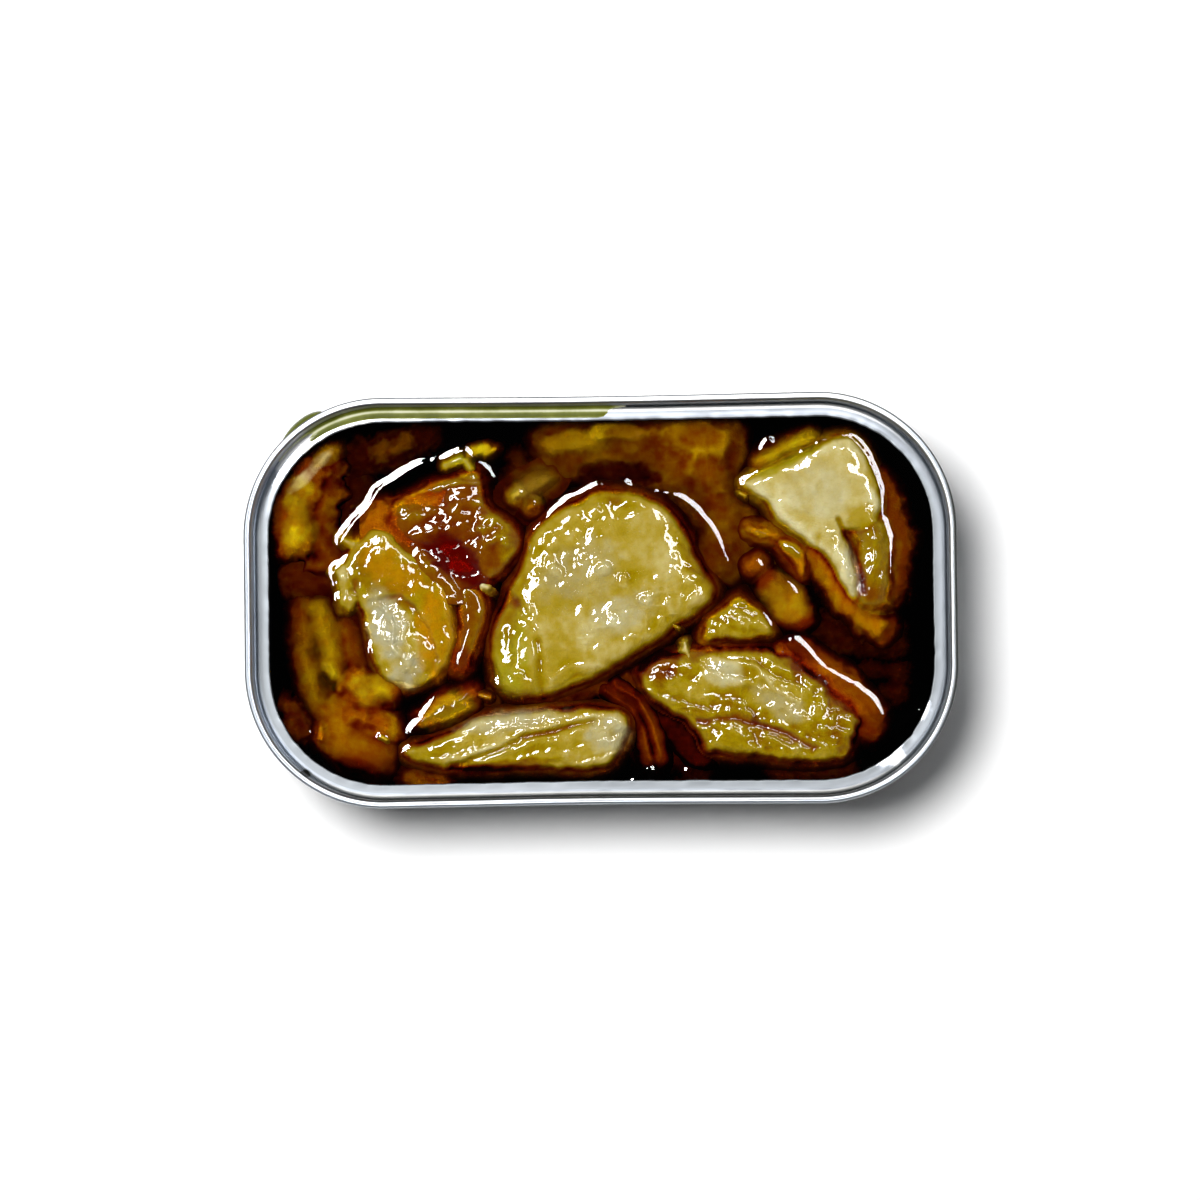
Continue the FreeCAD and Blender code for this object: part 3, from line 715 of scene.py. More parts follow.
def cod_back_right():
    """Palest block: a smooth cream face, a green slab edge along its back, and a tail of two fingers."""
    flesh = Flesh("cod_back_right", 12, 0.86, slot="cod_pale", tilt=(0.012, 0.01), ragged=0.2, rough=0.06,
                  margin=7.0, shoulder=0.45)
    flesh.each("mound", ([(23.6, 20.2), (27.4, 22.2), (31.2, 23.6)], 0.9, 24.1, 0.5, 0.4, 0.2),
        ([(41, 16.5), (43.4, 9), (42.4, 1.5)], 2.4, 22.8, 0.4, 0.5, 0.7, 0.5),
        ([(38.8, 12), (40.2, 8), (40.2, 4), (39.6, 0.6)], 2.9, 26, 0.62, 0.8, 0.5, 0.7),
        ([(39.4, 12.4), (40.4, 8.6)], 2.2, 26.6, 0.66, 1, 0.3, 0.8))
    flesh.each("patch", (43.4, 6, 1.7, 7, 0, 0.34, 0.9), (40.6, 6.6, 3, 5, 0, 0.54, 0.8),
        (40.2, 1.6, 3, 3, 0, 0.42, 0.8))
    flesh.each("mound", ([(31.4, 6.8), (34, 2.6), (37, -1.6), (40.4, -4.6)], 1.4, 24.2, 0.44, 0.8, 0.5, 0.3),
        ([(38.6, -3.4), (41.4, -5)], 1.9, 23.2, 0.36, 1, 0.6, 0.3))
    flesh.each("patch", (29, 20.8, 7.5, 0.9, 28, 0.56, 0.9), (40.6, 17.5, 1.3, 4.2, 10, 0.56, 0.7),
        (38.6, 11.6, 2.6, 2.4, 0, 0.62, 0.7), (24.2, 13, 2.4, 1.2, -50, 0.6, 0.6))
    flesh.each("seam", ([(34.9, 11.4), (36.6, 8.2), (38.2, 4.6), (38.7, 1)], 0.35, -0.6, -0.2, 0.15),
        ([(30.4, 21), (34.4, 23), (37.6, 23.2)], 0.35, 0.12))
    flesh.flakes(75, 1.9, 0.18, mask=step_between(11.5, 8.0, flesh.y))
    flesh.each("roughen", (28.5, 12.2, 3.6, 1.8, -35, 0.65), (34, 8.6, 2.2, 2.6, 0, 0.7),
        (36, 22.6, 3.2, 1.2, -15, 0.6), (40, 12.6, 1.4, 2.6, 0, 0.7))
    flesh.each("stain", ("olive", 28, 21.6, 7.5, 2.2, 28, 0.8), ("grey", 32, 16, 5, 4, -30, 0.35),
        ("grey", 36.8, 4, 1, 4, 10, 0.7))
    flesh.finish(edge_tone=0.26, edge_width=0.6, swell=0.12)


def cod_front_right():
    """Rough olive block: broken layers, a pale fibrous place, and a soaked skirt under oil."""
    flesh = Flesh("cod_front_right", 13, 0.55, tilt=(0.0, -0.01), ragged=0.5, rough=0.85, margin=6.0)
    flesh.each("mound", ([(29, -8.6), (34.4, -12.6), (38.8, -18)], 2.6, 23.8, 0.32, 0.9, 0.4),
        ([(27, -8.8), (32, -11.8), (36.6, -16.8)], 2.2, 25.1, 0.38, 1.2, 0.5, 0.5),
        ([(10.6, -17.2), (14.2, -21.6)], 2.6, 22.7, 0.12, 1, 0.2))
    flesh.flakes(-24, 2.7, 0.32, bend=0.004)
    flesh.each("patch", (17.6, -11, 3.6, 2.6, -8, 0.86, 0.9), (25.5, -14.8, 6, 3.2, -25, 0.74, 0.8),
        (13.5, -13.5, 5, 2.4, -20, 0.7, 0.8), (8.4, -9.6, 3.2, 2.6, -20, 0.24, 0.9),
        (35.6, -19.5, 2.6, 4.2, 30, 0.44, 0.8), (29.6, -10.2, 4.6, 1.8, -38, 0.33, 0.8),
        (19.2, -21.6, 4.2, 2.2, 5, 0.56, 0.9), (31, -10.6, 3.4, 1.5, -38, 0.35, 0.8),
        (24.5, -8.4, 4, 1.2, -20, 0.46, 0.7))
    flesh.each("swell", (19, -21.4, 4.2, 2.2, 5, 0.25), (17.5, -11.2, 3.4, 2.2, -8, 0.12))
    flesh.each("seam", ([(8, -7.8), (14, -8), (20, -7.2), (25, -7.2)], 0.7, -0.3, -0.14),
        ([(14, -17.8), (20, -17.6), (26, -19.4), (31, -22)], 0.5, -0.35, -0.14),
        ([(22, -9.6), (24.2, -11.4), (26, -13.8), (29, -15.4)], 0.35, 0.3, 0.05))
    flesh.each("roughen", (17.6, -11, 3.2, 2, -8, 0.25), (19, -21.6, 4.4, 2.2, 5, 0.15))
    flesh.each("stain", ("grey", 18, -11, 3, 1.8, -8, 0.7), ("grey", 26, -15.4, 4.4, 2, -30, 0.5),
        ("red", 22.5, -17.8, 0.9, 1.1, 0, 0.9))
    flesh.finish(edge_tone=0.26, edge_width=0.7, swell=0.3)


def cod_front_centre():
    """Long pale block with a crease along its middle and rows of fine ridges."""
    flesh = Flesh("cod_front_centre", 14, 0.72, slot="cod_pale", tilt=(0.004, 0.02), ragged=0.3, rough=0.45)
    flesh.flakes(11, 2.5, 0.26, bend=-0.002)
    flesh.each("seam",
        ([(-22.4, -24), (-17, -22.2), (-12, -20), (-6.5, -18.9), (-1.5, -17.7)], 0.55, -0.5, -0.1),
        ([(-22, -23.2), (-16.8, -21.4), (-11.8, -19.2), (-6.3, -18.1), (-1.2, -16.9)], 0.4, 0.26, 0.03))
    flesh.each("patch", (-25, -21.5, 4, 2.2, 12, 0.54, 0.9), (-13.5, -17.2, 6.5, 1.5, 6, 0.84, 0.7),
        (0.5, -19.6, 3.6, 3.4, 0, 0.84, 0.8), (-15, -22.6, 7, 1.2, 12, 0.62, 0.6),
        (-3, -15.8, 5, 0.9, 3, 0.5, 0.8), (-14, -24, 9, 0.9, 6, 0.34, 0.8))
    flesh.each("roughen", (-12, -17.4, 12, 1.1, 9, 0.95), (2, -18, 2.6, 2.2, 0, 0.9),
        (-27, -21, 2.4, 1.6, 10, 0.9))
    flesh.each("stain", ("grey", -13, -17.4, 8, 1.8, 8, 0.55), ("grey", 1, -19.6, 3.6, 3, 0, 0.7))
    flesh.finish(edge_tone=0.42, edge_width=0.7, swell=0.14)


def cod_left_back():
    """Browned block with a step along its back, a lobe of small bumps and a place soaked red."""
    flesh = Flesh("cod_left_back", 15, 0.31, slot="cod_brown", tilt=(0.01, 0.0), ragged=0.45, rough=0.25,
                  margin=4.0)
    flesh.each("mound", ([(-31.6, 13.4), (-34.6, 10.2)], 1.8, 24.6, 0.36, 0.5, 0.5, 0.3),
        ([(-31.4, 9.6), (-27.4, 7.2), (-23.6, 3.2), (-21.8, -0.4)], 3.1, 25.3, 0.35, 0.9, 0.2, 0.5),
        ([(-27.4, 11), (-23.6, 7.4), (-19.8, 3.8)], 2.8, 25.1, 0.24, 0.8, 0.2, 0.5),
        ([(-25.6, 9.4), (-21.6, 6.8), (-17.4, 3.6)], 1.8, 25.3, 0.13, 0.9, 0.2, 0.6),
        ([(-28.6, 14.6), (-24.6, 16.6), (-18.8, 18.2)], 1.3, 25.1, 0.44, 0.3, 0.4))
    flesh.flakes(14, 3.2, 0.16)
    flesh.each("ledge", ([(-32, 15), (-25, 16.4), (-17.6, 17.6)], 0.45, 0.3, 4, -0.04),
        ([(-22.8, 18.4), (-22.4, 14)], 0.2, 0.35, 3))
    flesh.each("patch", (-22.4, 7.6, 5, 2.9, -42, 0.14), (-26.5, 14.2, 4.8, 1.7, 14, 0.4, 0.9),
        (-19.6, 5, 3, 2, -60, 0.14), (-24, 5.7, 1.1, 0.6, -10, 0), (-27, 10.6, 3.4, 2, -30, 0.3, 0.9),
        (-15.2, 11.2, 2.4, 2.2, 0, 0.46, 0.7), (-28, 12, 2.6, 1.4, 30, 0.42, 0.6),
        (-14, 7.4, 1.4, 1.6, 0, 0.44, 0.7))
    flesh.each("swell", (-21.6, 7.6, 4.6, 2.4, -42, -0.35), (-15.4, 10.4, 2.6, 3, 0, 0.35))
    flesh.each("roughen", (-21.4, 7.4, 5.4, 3.4, -42, -0.1), (-15.6, 10.6, 2.8, 3.2, 0, 1))
    flesh.each("stain", ("red", -22.2, 7.4, 5.4, 3.1, -42, 1.2), ("red", -19.4, 4.8, 3.2, 2.2, -60, 1.2))
    flesh.finish(edge_tone=0.06, edge_width=0.7, swell=0.3)


def cod_left_middle():
    """Block with a smooth yellow layer that curves round a pale place, and a crumbly left edge."""
    flesh = Flesh("cod_left_middle", 16, 0.54, ragged=0.4, rough=0.3, margin=3.5)
    flesh.each("mound", ([(-38, 4.4), (-37.2, 0.6)], 1.5, 25.5, 0.7, 0.35, 0.6),
        ([(-38, 9.9), (-36.8, 8.8)], 0.7, 25.3, 0.7, 0.3, 0.4),
        ([(-35.4, 8.4), (-32, 6.4), (-28, 3), (-25, -1.4), (-23.8, -7)], 1.7, 25.5, 0.57, 0.8, 0.2, 0.3))
    flesh.each("patch", (-30, 4.6, 7, 2.6, -38, 0.54, 0.9), (-23.6, -4, 2.4, 7, 0, 0.53, 0.9),
        (-34.4, 2.4, 2.6, 3.4, 0, 0.52, 0.8), (-29.2, 1, 4.6, 1.3, -42, 0.5, 0.9),
        (-30.6, -5.2, 3.6, 7, 26, 0.74))
    flesh.ledge([(-33.4, 0.6), (-29.4, 1.4), (-26.4, -1.6), (-24.6, -6.2), (-24.2, -11)], 0.7, 0.35)
    flesh.each("seam", ([(-33.2, -0.2), (-30.9, -1.6), (-30.4, -4), (-30.9, -6.2), (-29.6, -7.6)], 0.3, 0.25),
        ([(-28.9, -3), (-29.4, -5), (-28.2, -6.6), (-28.6, -8.6)], 0.25, 0.2),
        ([(-27.6, -7.6), (-28.6, -9.6), (-27.4, -11.6)], 0.25, 0.2))
    flesh.each("roughen", (-30.2, -5, 2.6, 5.4, 25, 1), (-27.6, -9.4, 2.2, 2.4, 0, 1.3),
        (-37, 2.6, 2, 3.2, 0, 1.2), (-31, 6.4, 4.4, 1.4, -35, 0.6))
    flesh.each("stain", ("amber", -30.8, 5.2, 6.6, 2.8, -38, 0.7), ("amber", -24, -3, 3.1, 8.4, -4, 1),
        ("grey", -31.4, -3.6, 2.9, 5.6, 20, 1), ("grey", -28.6, -9.6, 2.4, 3, 10, 0.8))
    flesh.finish(edge_tone=0.06, edge_width=0.7, swell=0.2)


def cod_left_strip():
    """Narrow wedge of brown flesh between two blocks."""
    flesh = Flesh("cod_left_strip", 17, 0.37, slot="cod_brown", ragged=0.2, rough=0.15, shoulder=0.4)
    flesh.mound([(-20, 1.4), (-19.2, -3.4), (-21, -9)], 1.7, 24.9, 0.38, 0.6, 0.2, 0.3)
    flesh.patch(-20.6, -8.6, 1.8, 2, 0, 0.16, 0.9)
    flesh.mound([(-17.3, 2.5), (-16.7, 2.2)], 0.7, 25.2, 0.98, 0.25, 0.2)
    flesh.seam([(-21.9, 2.4), (-21.2, -1), (-20.9, -3.6)], 0.3, -0.3, -0.1)
    flesh.finish(edge_tone=0.12, edge_width=0.7, swell=0.12)


def cod_back_centre():
    """Amber block under the oil behind the middle one, with rough places that reach the surface."""
    flesh = Flesh("cod_back_centre", 18, 0.44, slot="cod_brown", sink=2.5, ragged=0.6, rough=0.25, margin=4.0,
                  shoulder=1.6, fall=0.55)
    flesh.mound([(16.6, 5.6), (18.2, 9.6), (17.2, 14)], 2.6, 22.4, 0.38, 1.2, 0.35, 0.7)
    flesh.each("patch", (-4, 22, 6, 2.6, 20, 0.56, 0.8), (5, 23.6, 2.4, 2.4, 60, 0.64, 0.8),
        (2, 18, 6, 1.8, 0, 0.2, 0.9), (9.6, 24, 1.6, 2.6, 0, 0.4, 0.7), (14, 23.6, 6, 2.6, 0, 0.45, 0.7),
        (15, 18.4, 4, 3, 0, 0.38, 0.8))
    flesh.each("swell", (2.6, 18.6, 5.6, 2, 0, -1.2), (-4, 23.6, 6, 2.2, 12, 0.9), (3, 25, 6, 1.4, 0, 0.7),
        (14.6, 24.2, 6.4, 3, -10, 0.8), (11.4, 19.6, 2.6, 4, 0, 0.4), (16, 19, 3.6, 3.6, 0, 0.5))
    flesh.each("roughen", (14.6, 24.6, 5, 2.4, 0, 0.35), (11, 20, 2, 3, 0, 0.5),
        (16.8, 20.4, 2, 2.4, 0, 0.35))
    flesh.stain("olive", -2, 23.6, 7, 2.6, 12, 0.5)
    flesh.finish(edge_tone=0.0, swell=0.35)


def far_left():
    """Two sunk blocks at the left end: long smooth lobes, with rough flakes that reach the surface."""
    back = Flesh("cod_far_left_back", 19, 0.36, sink=4.2, ragged=0.5, rough=0.2, margin=8.0, shoulder=1.6,
                 fall=0.55)
    back.mound([(-40.8, 21), (-40.4, 16), (-41.6, 11), (-40.2, 6.4), (-42.2, 3)], 2.2, 22.6, 0.34, 1.4, 0.9,
               0.6)
    back.swell(-42, 1.6, 5, 4, 0, -1.8)
    back.each("mound", ([(-42.8, 19), (-45, 14.6), (-45.2, 9.6)], 2, 24.1, 0.34, 1.5, 0.5, 0.5),
        ([(-39.7, 22.5), (-42.8, 19.6), (-45.5, 17.1)], 0.6, 23.9, 0.62, 0.5, 0.2, 0.2))
    back.each("patch", (-44.4, 8.4, 2.2, 2.4, 0, 0.31, 0.9), (-43, 4, 3, 2.4, 0, 0.24, 0.9))
    back.roughen(-44.8, 13, 1.8, 3, 0, 0.8)
    back.each("stain", ("grey", -42.6, 19.8, 4.4, 0.9, 43, 0.9), ("olive", -44.4, 13, 2.6, 6, 0, 0.5))
    back.finish(edge_tone=0.1, edge_width=1.6, swell=0.3)
    front = Flesh("cod_far_left_front", 20, 0.40, sink=4.6, ragged=0.5, rough=0.2, margin=8.0, shoulder=1.6,
                  fall=0.55)
    front.each("mound", ([(-37.6, -4), (-36.8, -9)], 1.6, 22.8, 0.32, 1.2, 0.35, 0.7),
        ([(-44.1, -0.6), (-43.9, -7), (-42.6, -12.6), (-40.4, -17.6)], 1.2, 23, 0.38, 1.1, 0.35, 0.5),
        ([(-41.8, -1), (-40.2, -5), (-39.4, -9)], 1.4, 23.4, 0.4, 1.1, 0.2, 0.5),
        ([(-36.4, -11.8), (-34.4, -13.2), (-32, -12.4)], 1.9, 24.1, 0.3, 0.9, 0.5, 0.5),
        ([(-41.5, -18.2), (-41.7, -19.6)], 0.4, 24.5, 0.4, 0.4, 0.35, 0.3),
        ([(-36.6, -16.6), (-33.4, -17.6), (-31.6, -18.6)], 1.4, 24.1, 0.34, 0.9, 0.5, 0.5),
        ([(-38.6, -16), (-38, -20.6), (-33.4, -22)], 2.4, 23.5, 0.4, 1.1, 0.35, 0.6),
        ([(-39.9, -9), (-39.5, -9.9)], 0.5, 24.5, 0.5, 0.4, 0.35, 0.3))
    front.each("patch", (-35, -17.6, 2.4, 1, 0, 0.24, 0.8), (-36.6, -24, 4, 1.6, -10, 0.2, 0.9))
    front.roughen(-34, -14, 4, 4.4, 0, 0.7)
    front.each("stain", ("olive", -41.6, -7, 3.4, 9, 0, 0.55), ("olive", -34, -12.6, 3.4, 2.4, 0, 0.5))
    front.finish(edge_tone=0.0, swell=0.3)


def small_chips():
    """Chips of flesh in the gaps between the blocks."""
    right = Flesh("chip_right", 21, 0.50, ragged=0.4, rough=0.9)
    right.flakes(-30, 1.8, 0.2)
    right.patch(20.8, -2.6, 2.6, 1.4, -30, 0.64, 0.7)
    right.finish(edge_tone=0.12, edge_width=0.8)
    front_left = Flesh("chip_front_left", 22, 0.30, slot="cod_brown", ragged=0.3, rough=0.6, margin=5.0)
    front_left.mound([(-26.2, -17.2), (-22.6, -15.6), (-19.6, -13.4)], 1.4, 24.8, 0.25, 0.4, 0.4, 0.3)
    front_left.patch(-21.4, -14.6, 1.6, 1, 0, 0.3, 0.7)
    front_left.stain("olive", -22.4, -15.6, 5, 2.4, 30, 0.35)
    front_left.finish(edge_tone=0.14, edge_width=0.8, swell=0.12)
    front_right = Flesh("chip_front_right", 23, 0.14, slot="cod_brown", sink=3.4, ragged=0.3, rough=0.3,
                        shoulder=1.0, fall=0.6, margin=5.0)
    for points, half_width, top in (([(2.1, -12.6), (5.3, -14.4), (7.3, -18.1), (8.6, -23.2)], 0.35, 24.4),
                                    ([(0.4, -13.2), (3.9, -15.4), (5.9, -18.9), (6.9, -23.4)], 0.25, 23.8)):
        front_right.mound(points, half_width, top, 0.20, shoulder=0.3, ragged=0.25)
    front_right.finish(edge_tone=0.1, edge_width=0.8, swell=0.2)
    tail = Flesh("chip_under_tail", 24, 0.37, slot="cod_brown", ragged=0.25, rough=0.4, margin=8.0, fall=0.6)
    tail.mound([(22, 10.2), (25.6, 9.2)], 0.9, 24.5, 0.42, 0.35)
    tail.finish(edge_tone=0.12, edge_width=0.7, swell=0.12)
    bean = Flesh("lump_right", 25, 0.27, slot="cod_brown", ragged=0.3, rough=0.3, shoulder=0.5, margin=8.0,
                 sink=0.9, fall=0.8)
    bean.each("mound", ([(22.2, 4.9), (23, 5.3)], 1.2, 24.3, 0.36, 0.4, 0.2),
        ([(25.4, 1.8), (29, -2.6)], 1.9, 24.2, 0.27, 0.9, 0.3))
    bean.stain("olive", 27, 0, 4, 4, 0, 0.35)
    bean.finish(edge_tone=0.14, edge_width=0.9, swell=0.12)
    pale = Flesh("chip_back", 26, 0.54, slot="cod_pale", sink=2.0, ragged=0.2, rough=0.1, margin=4.0,
                 fall=0.5)
    pale.each("mound", ([(-12.6, 15.6), (-12, 16)], 0.7, 24.2, 0.5, 0.3, 0.1),
        ([(-10.2, 14), (-9.9, 14.1)], 0.7, 24.2, 0.34, 0.3, 0.1))
    pale.each("stain", ("grey", -9.8, 17.6, 3.2, 2.2, 35, 0.6), ("olive", -9.8, 17.6, 4.2, 3.2, 35, 0.8))
    pale.finish(edge_tone=0.1, edge_width=0.7, swell=0.1)


SUNK = [  # line along the middle, half width, top under the oil, tone
    ([(-44.5, 4), (-39.5, 2.6), (-36.6, -1.6), (-35.8, -6)], 2.2, 2.5, 0.24),
    ([(-37.6, 19), (-37, 12), (-37.6, 7)], 1.6, 3.6, 0.24),
    ([(-35.6, 21.6), (-30.6, 22.8), (-26.6, 24.8)], 2, 3.4, 0.22),
    ([(-33.4, 22.1), (-30.6, 22.9), (-28.2, 23.9)], 0.35, 2.1, 0.44),
    ([(-46.8, -15.5), (-45.2, -18.6)], 0.9, 1.6, 0.24),
    ([(-6.4, -14), (-1, -12.8), (4, -12.8)], 0.9, 1.4, 0.22),
    ([(-28.6, -25.6), (-24.4, -26.6)], 0.8, 0.8, 0.3),
    ([(29.8, -3), (35, -5.6), (42, -6.4)], 2, 3.6, 0.28),
    ([(39.7, -10.4), (43.3, -11.4)], 0.9, 3.6, 0.2),
    ([(42, -13.4), (43.2, -14)], 0.7, 3.4, 0.2),
    ([(9.8, -21.6), (13.6, -24.8)], 1.5, 3.6, 0.16),
    ([(26, -26), (36, -25.2)], 0.9, 3.4, 0.22),
    ([(-12, 21), (-13.4, 17.4)], 1, 3.4, 0.3),
    ([(-20.4, -13), (-16.6, -14.4)], 0.9, 2.2, 0.3),
    ([(22, 11), (24.4, 8.4)], 1.6, 2.4, 0.40),
    ([(24.8, 5), (26, 7.6)], 1.2, 3, 0.32),
]


def sunk_flesh():
    """Scraps of flesh under the oil between the blocks, seen through it in red and brown."""
    flesh = Flesh("sunk_cod", 31, 0.5, slot="cod_brown", rough=0.4, area=[(-45, -26), (45, 26)], fall=0.4)
    for points, half_width, depth, tone in SUNK:
        flesh.mound(points, half_width, OIL_LEVEL - depth, tone, shoulder=1.2, ragged=0.7, soft=0.5)
    flesh.finish(edge_tone=0.0, swell=0.35)


def loose_flakes():
    """Thin flakes and crumbs that float at the oil's edge or lie on the blocks."""
    flesh = Flesh("loose_flakes", 41, 0.6, rough=0.5, area=[(-40, -24), (30, 25)], fall=3.0)
    flakes = [([(-18.6, 22.2), (-16.6, 22.8)], 0.9, 24.3, 0.36),
              ([(-16.8, 21.8), (-15.4, 22.6)], 0.5, 24.2, 0.34),
              ([(-22.6, 20.2), (-20.6, 21)], 0.8, 25, 0.54),
              ([(-19.6, 20.8), (-19, 19.6)], 0.6, 25, 0.46),
              ([(12.2, -6.4), (12.8, -8.4), (13.4, -9.8)], 0.55, 25.8, 0.72),
              ([(11.9, -7.4), (12.6, -7.8)], 0.6, 25.7, 0.68), ([(10, -3.2), (11.4, -4.2)], 0.3, 25.3, 0.5),
              ([(-32.6, -19.6), (-31.8, -20)], 0.5, 25, 0.62), ([(-18, -13.6), (-16.6, -14)], 0.5, 24.9, 0.4),
              ([(20.6, 15.6), (21.4, 15.2)], 0.35, 24.7, 0.5)]
    for points, half_width, top, tone in flakes:
        flesh.mound(points, half_width, top, tone, shoulder=0.15, ragged=0.15, soft=0.1)
    flesh.stain("olive", -18.6, 21.4, 4.6, 2.4, 0, 0.6)
    flesh.finish(edge_tone=0.0, swell=0.1)


cod_centre()
cod_back_right()
cod_front_right()
cod_front_centre()
cod_left_back()
cod_left_middle()
cod_left_strip()
cod_back_centre()
far_left()
small_chips()
sunk_flesh()
loose_flakes()

# ---------------------------------------------------------------- oil

CREEP = 1.5  # how far from a wall oil still climbs, the length at which its weight beats its skin
CLIMB = 0.44  # how high it climbs
OIL_STEP = 0.3  # spacing of the points on the oil
OIL_EDGE = 0.92  # how far inside the tin's outline the oil ends, just within the wall
ROUNDS = 500  # times that the oil settles
LARGE_PIN = 5  # length over which an outline below counts as large
PINS = [  # outlines of places where scraps just under it hold the oil up
    [(-37.6, 9.2), (-33.4, 14.9), (-32.6, 16.3), (-31, 17.2), (-28, 18.9), (-26.1, 20.3), (-23.1, 20.6),
     (-20, 22), (-19.2, 20.5), (-17.3, 19.6), (-16.4, 18.4), (-15, 15.3), (-20, 12), (-30, 9)],
    [(-13.5, 2.2), (-11.9, 6), (-10.6, 8.2), (-8.6, 10.6), (-6.5, 13), (-4.4, 14.5), (-2.5, 15.2),
     (-0.4, 16.5), (1.5, 17.1), (3.6, 16.9), (2, 10), (-8, 2)],
    [(7, 15.5), (9.4, 15.1), (11.7, 14.5), (13.4, 13.2), (14.6, 12.1), (16.1, 10), (17.2, 7.8), (18.2, 5.4),
     (19.3, 3.3), (21.6, 1.2), (16, 0), (12, 6), (7, 12)],
    [(28.1, -6.5), (30.4, -8.5), (32.6, -11.1), (34.6, -12.2), (36.9, -13.3), (39.3, -15.4), (40.4, -17.2),
     (41, -19.8), (37, -21), (28, -12)],
    [(-22.9, -12.5), (-23.9, -14), (-25.8, -16.6), (-27.8, -18.8), (-24, -18.5), (-18.5, -15.5),
     (-18.6, -13.8), (-20.4, -13)],
    [(-49, -16.6), (-46.6, -17), (-45, -18), (-43.5, -19.2), (-42.9, -21.2), (-42.2, -23), (-40.8, -25.2),
     (-44, -26)],
    [(44.2, -19.3), (45.8, -18.2), (47.3, -16.8), (50, -18), (45, -24), (41, -25), (38.6, -23.4)],
    [(21.7, 4.4), (22.2, 5.2), (23, 5.3), (23.6, 4.8), (23.6, 4), (22.6, 3.7)],
    [(24.2, 1.9), (25, 2.8), (26.2, 3), (27.4, 2.3), (28.4, 0.8), (26, 0)],
    [(-12.9, 15.2), (-12.5, 16.2), (-11.7, 16.2), (-11.5, 15.4), (-12.2, 14.9)],
    [(-10.7, 13.6), (-10.4, 14.5), (-9.7, 14.6), (-9.4, 13.9), (-10, 13.3)],
    [(24, 21.8), (24.6, 21.8), (25.5, 23.6), (24.9, 23.6)],
    [(23.2, 17), (23.8, 17), (23.1, 15.4), (22.5, 15.4)],
    [(4.3, -26.8), (4.7, -27), (7.4, -25.2), (7, -24.9)],
    [(12.2, -24.9), (12.6, -24.7), (15, -26.6), (14.6, -26.9)],
    [(-2.6, -14.3), (2.4, -14.6), (5.2, -13), (5.4, -12.4), (2.4, -13.9), (-2.6, -13.7)],
]
CALM = [(-16, -5, 6.5), (-38, -14, 7)]  # places and reach where it hardly climbs


def top_map(points, shape):
    """Highest flesh over each square of a level grid; squares with none hold a very low value."""
    heights = np.full(shape, -99.0)
    nearest = ((points[:, :2] + (TIN_LENGTH / 2, TIN_WIDTH / 2)) / OIL_STEP).round().astype(int)
    column, row = np.clip(nearest, 0, np.array(shape) - 1).T
    np.maximum.at(heights, (column, row), points[:, 2])
    return heights


def creeping_oil():
    """Height of the oil over its level, on a level grid.

    Where a piece stands more than the climb above the oil, the oil meets it at that height. Elsewhere
    each square settles to the mean of its four neighbours, drawn back to the level by its own weight.
    """
    sides = (np.arange(int(side / OIL_STEP) + 1) * OIL_STEP - side / 2 for side in (TIN_LENGTH, TIN_WIDTH))
    x, y = np.meshgrid(*sides, indexing="ij")
    rise = np.zeros(x.shape)
    held = np.zeros(x.shape, bool)
    for _, points in FLESH:
        over = top_map(points, rise.shape) - OIL_LEVEL
        climb = min(CLIMB, 0.6 * np.percentile(over[over > 0], 90)) if (over > 0).any() else 0.0
        if climb < 0.05:
            continue
        wet = over > climb
        rise = np.where(wet, climb, rise)
        held |= wet
    for away_x, away_y, reach in CALM:
        held &= np.hypot(x - away_x, y - away_y) > reach
    uneven_x, uneven_y = (0.22 * rough_lumps(flat3(x, y), 2.4, seed, 2) for seed in (91, 92))
    for points in PINS:
        outline = np.array([*points, points[0]])
        past, climb = (-0.5, CLIMB) if np.ptp(outline, axis=0).max() > LARGE_PIN else (-0.1, 0.85 * CLIMB)
        near = within(line_runs(outline), x + uneven_x, y + uneven_y) > past
        rise = np.where(near, np.maximum(rise, climb), rise)
        held |= near
    wall = inside_tin(x, y, OIL_EDGE) > 0
    rise = np.where(wall, CLIMB * 0.7, rise)
    held |= wall
    fixed = rise.copy()
    pull = 4 + (OIL_STEP / CREEP) ** 2
    for _ in range(ROUNDS):
        around = np.roll(rise, 1, 0) + np.roll(rise, -1, 0) + np.roll(rise, 1, 1) + np.roll(rise, -1, 1)
        rise = np.where(held, fixed, around / pull)
    return rise


def looked_up(heights, x, y):
    """Height of a level grid at any place, blended between its four nearest squares."""
    column = np.clip((x + TIN_LENGTH / 2) / OIL_STEP, 0, heights.shape[0] - 1.001)
    row = np.clip((y + TIN_WIDTH / 2) / OIL_STEP, 0, heights.shape[1] - 1.001)
    left, low = column.astype(int), row.astype(int)
    share_x, share_y = column - left, row - low
    near = heights[left, low] * (1 - share_x) + heights[left + 1, low] * share_x
    far = heights[left, low + 1] * (1 - share_x) + heights[left + 1, low + 1] * share_x
    return near * (1 - share_y) + far * share_y


def mark_bare(rise):
    """Flesh that stands out of the oil is kept bare, and shines of itself; what the oil covers does not."""
    for piece, points in FLESH:
        oil = OIL_LEVEL + looked_up(rise, points[:, 0], points[:, 1])
        bare = step_between(-0.02, 0.12, points[:, 2] - oil)
        values = np.concatenate([bare, np.zeros(len(points))]).astype(np.float32)
        piece.data.attributes["bare"].data.foreach_set("value", values)


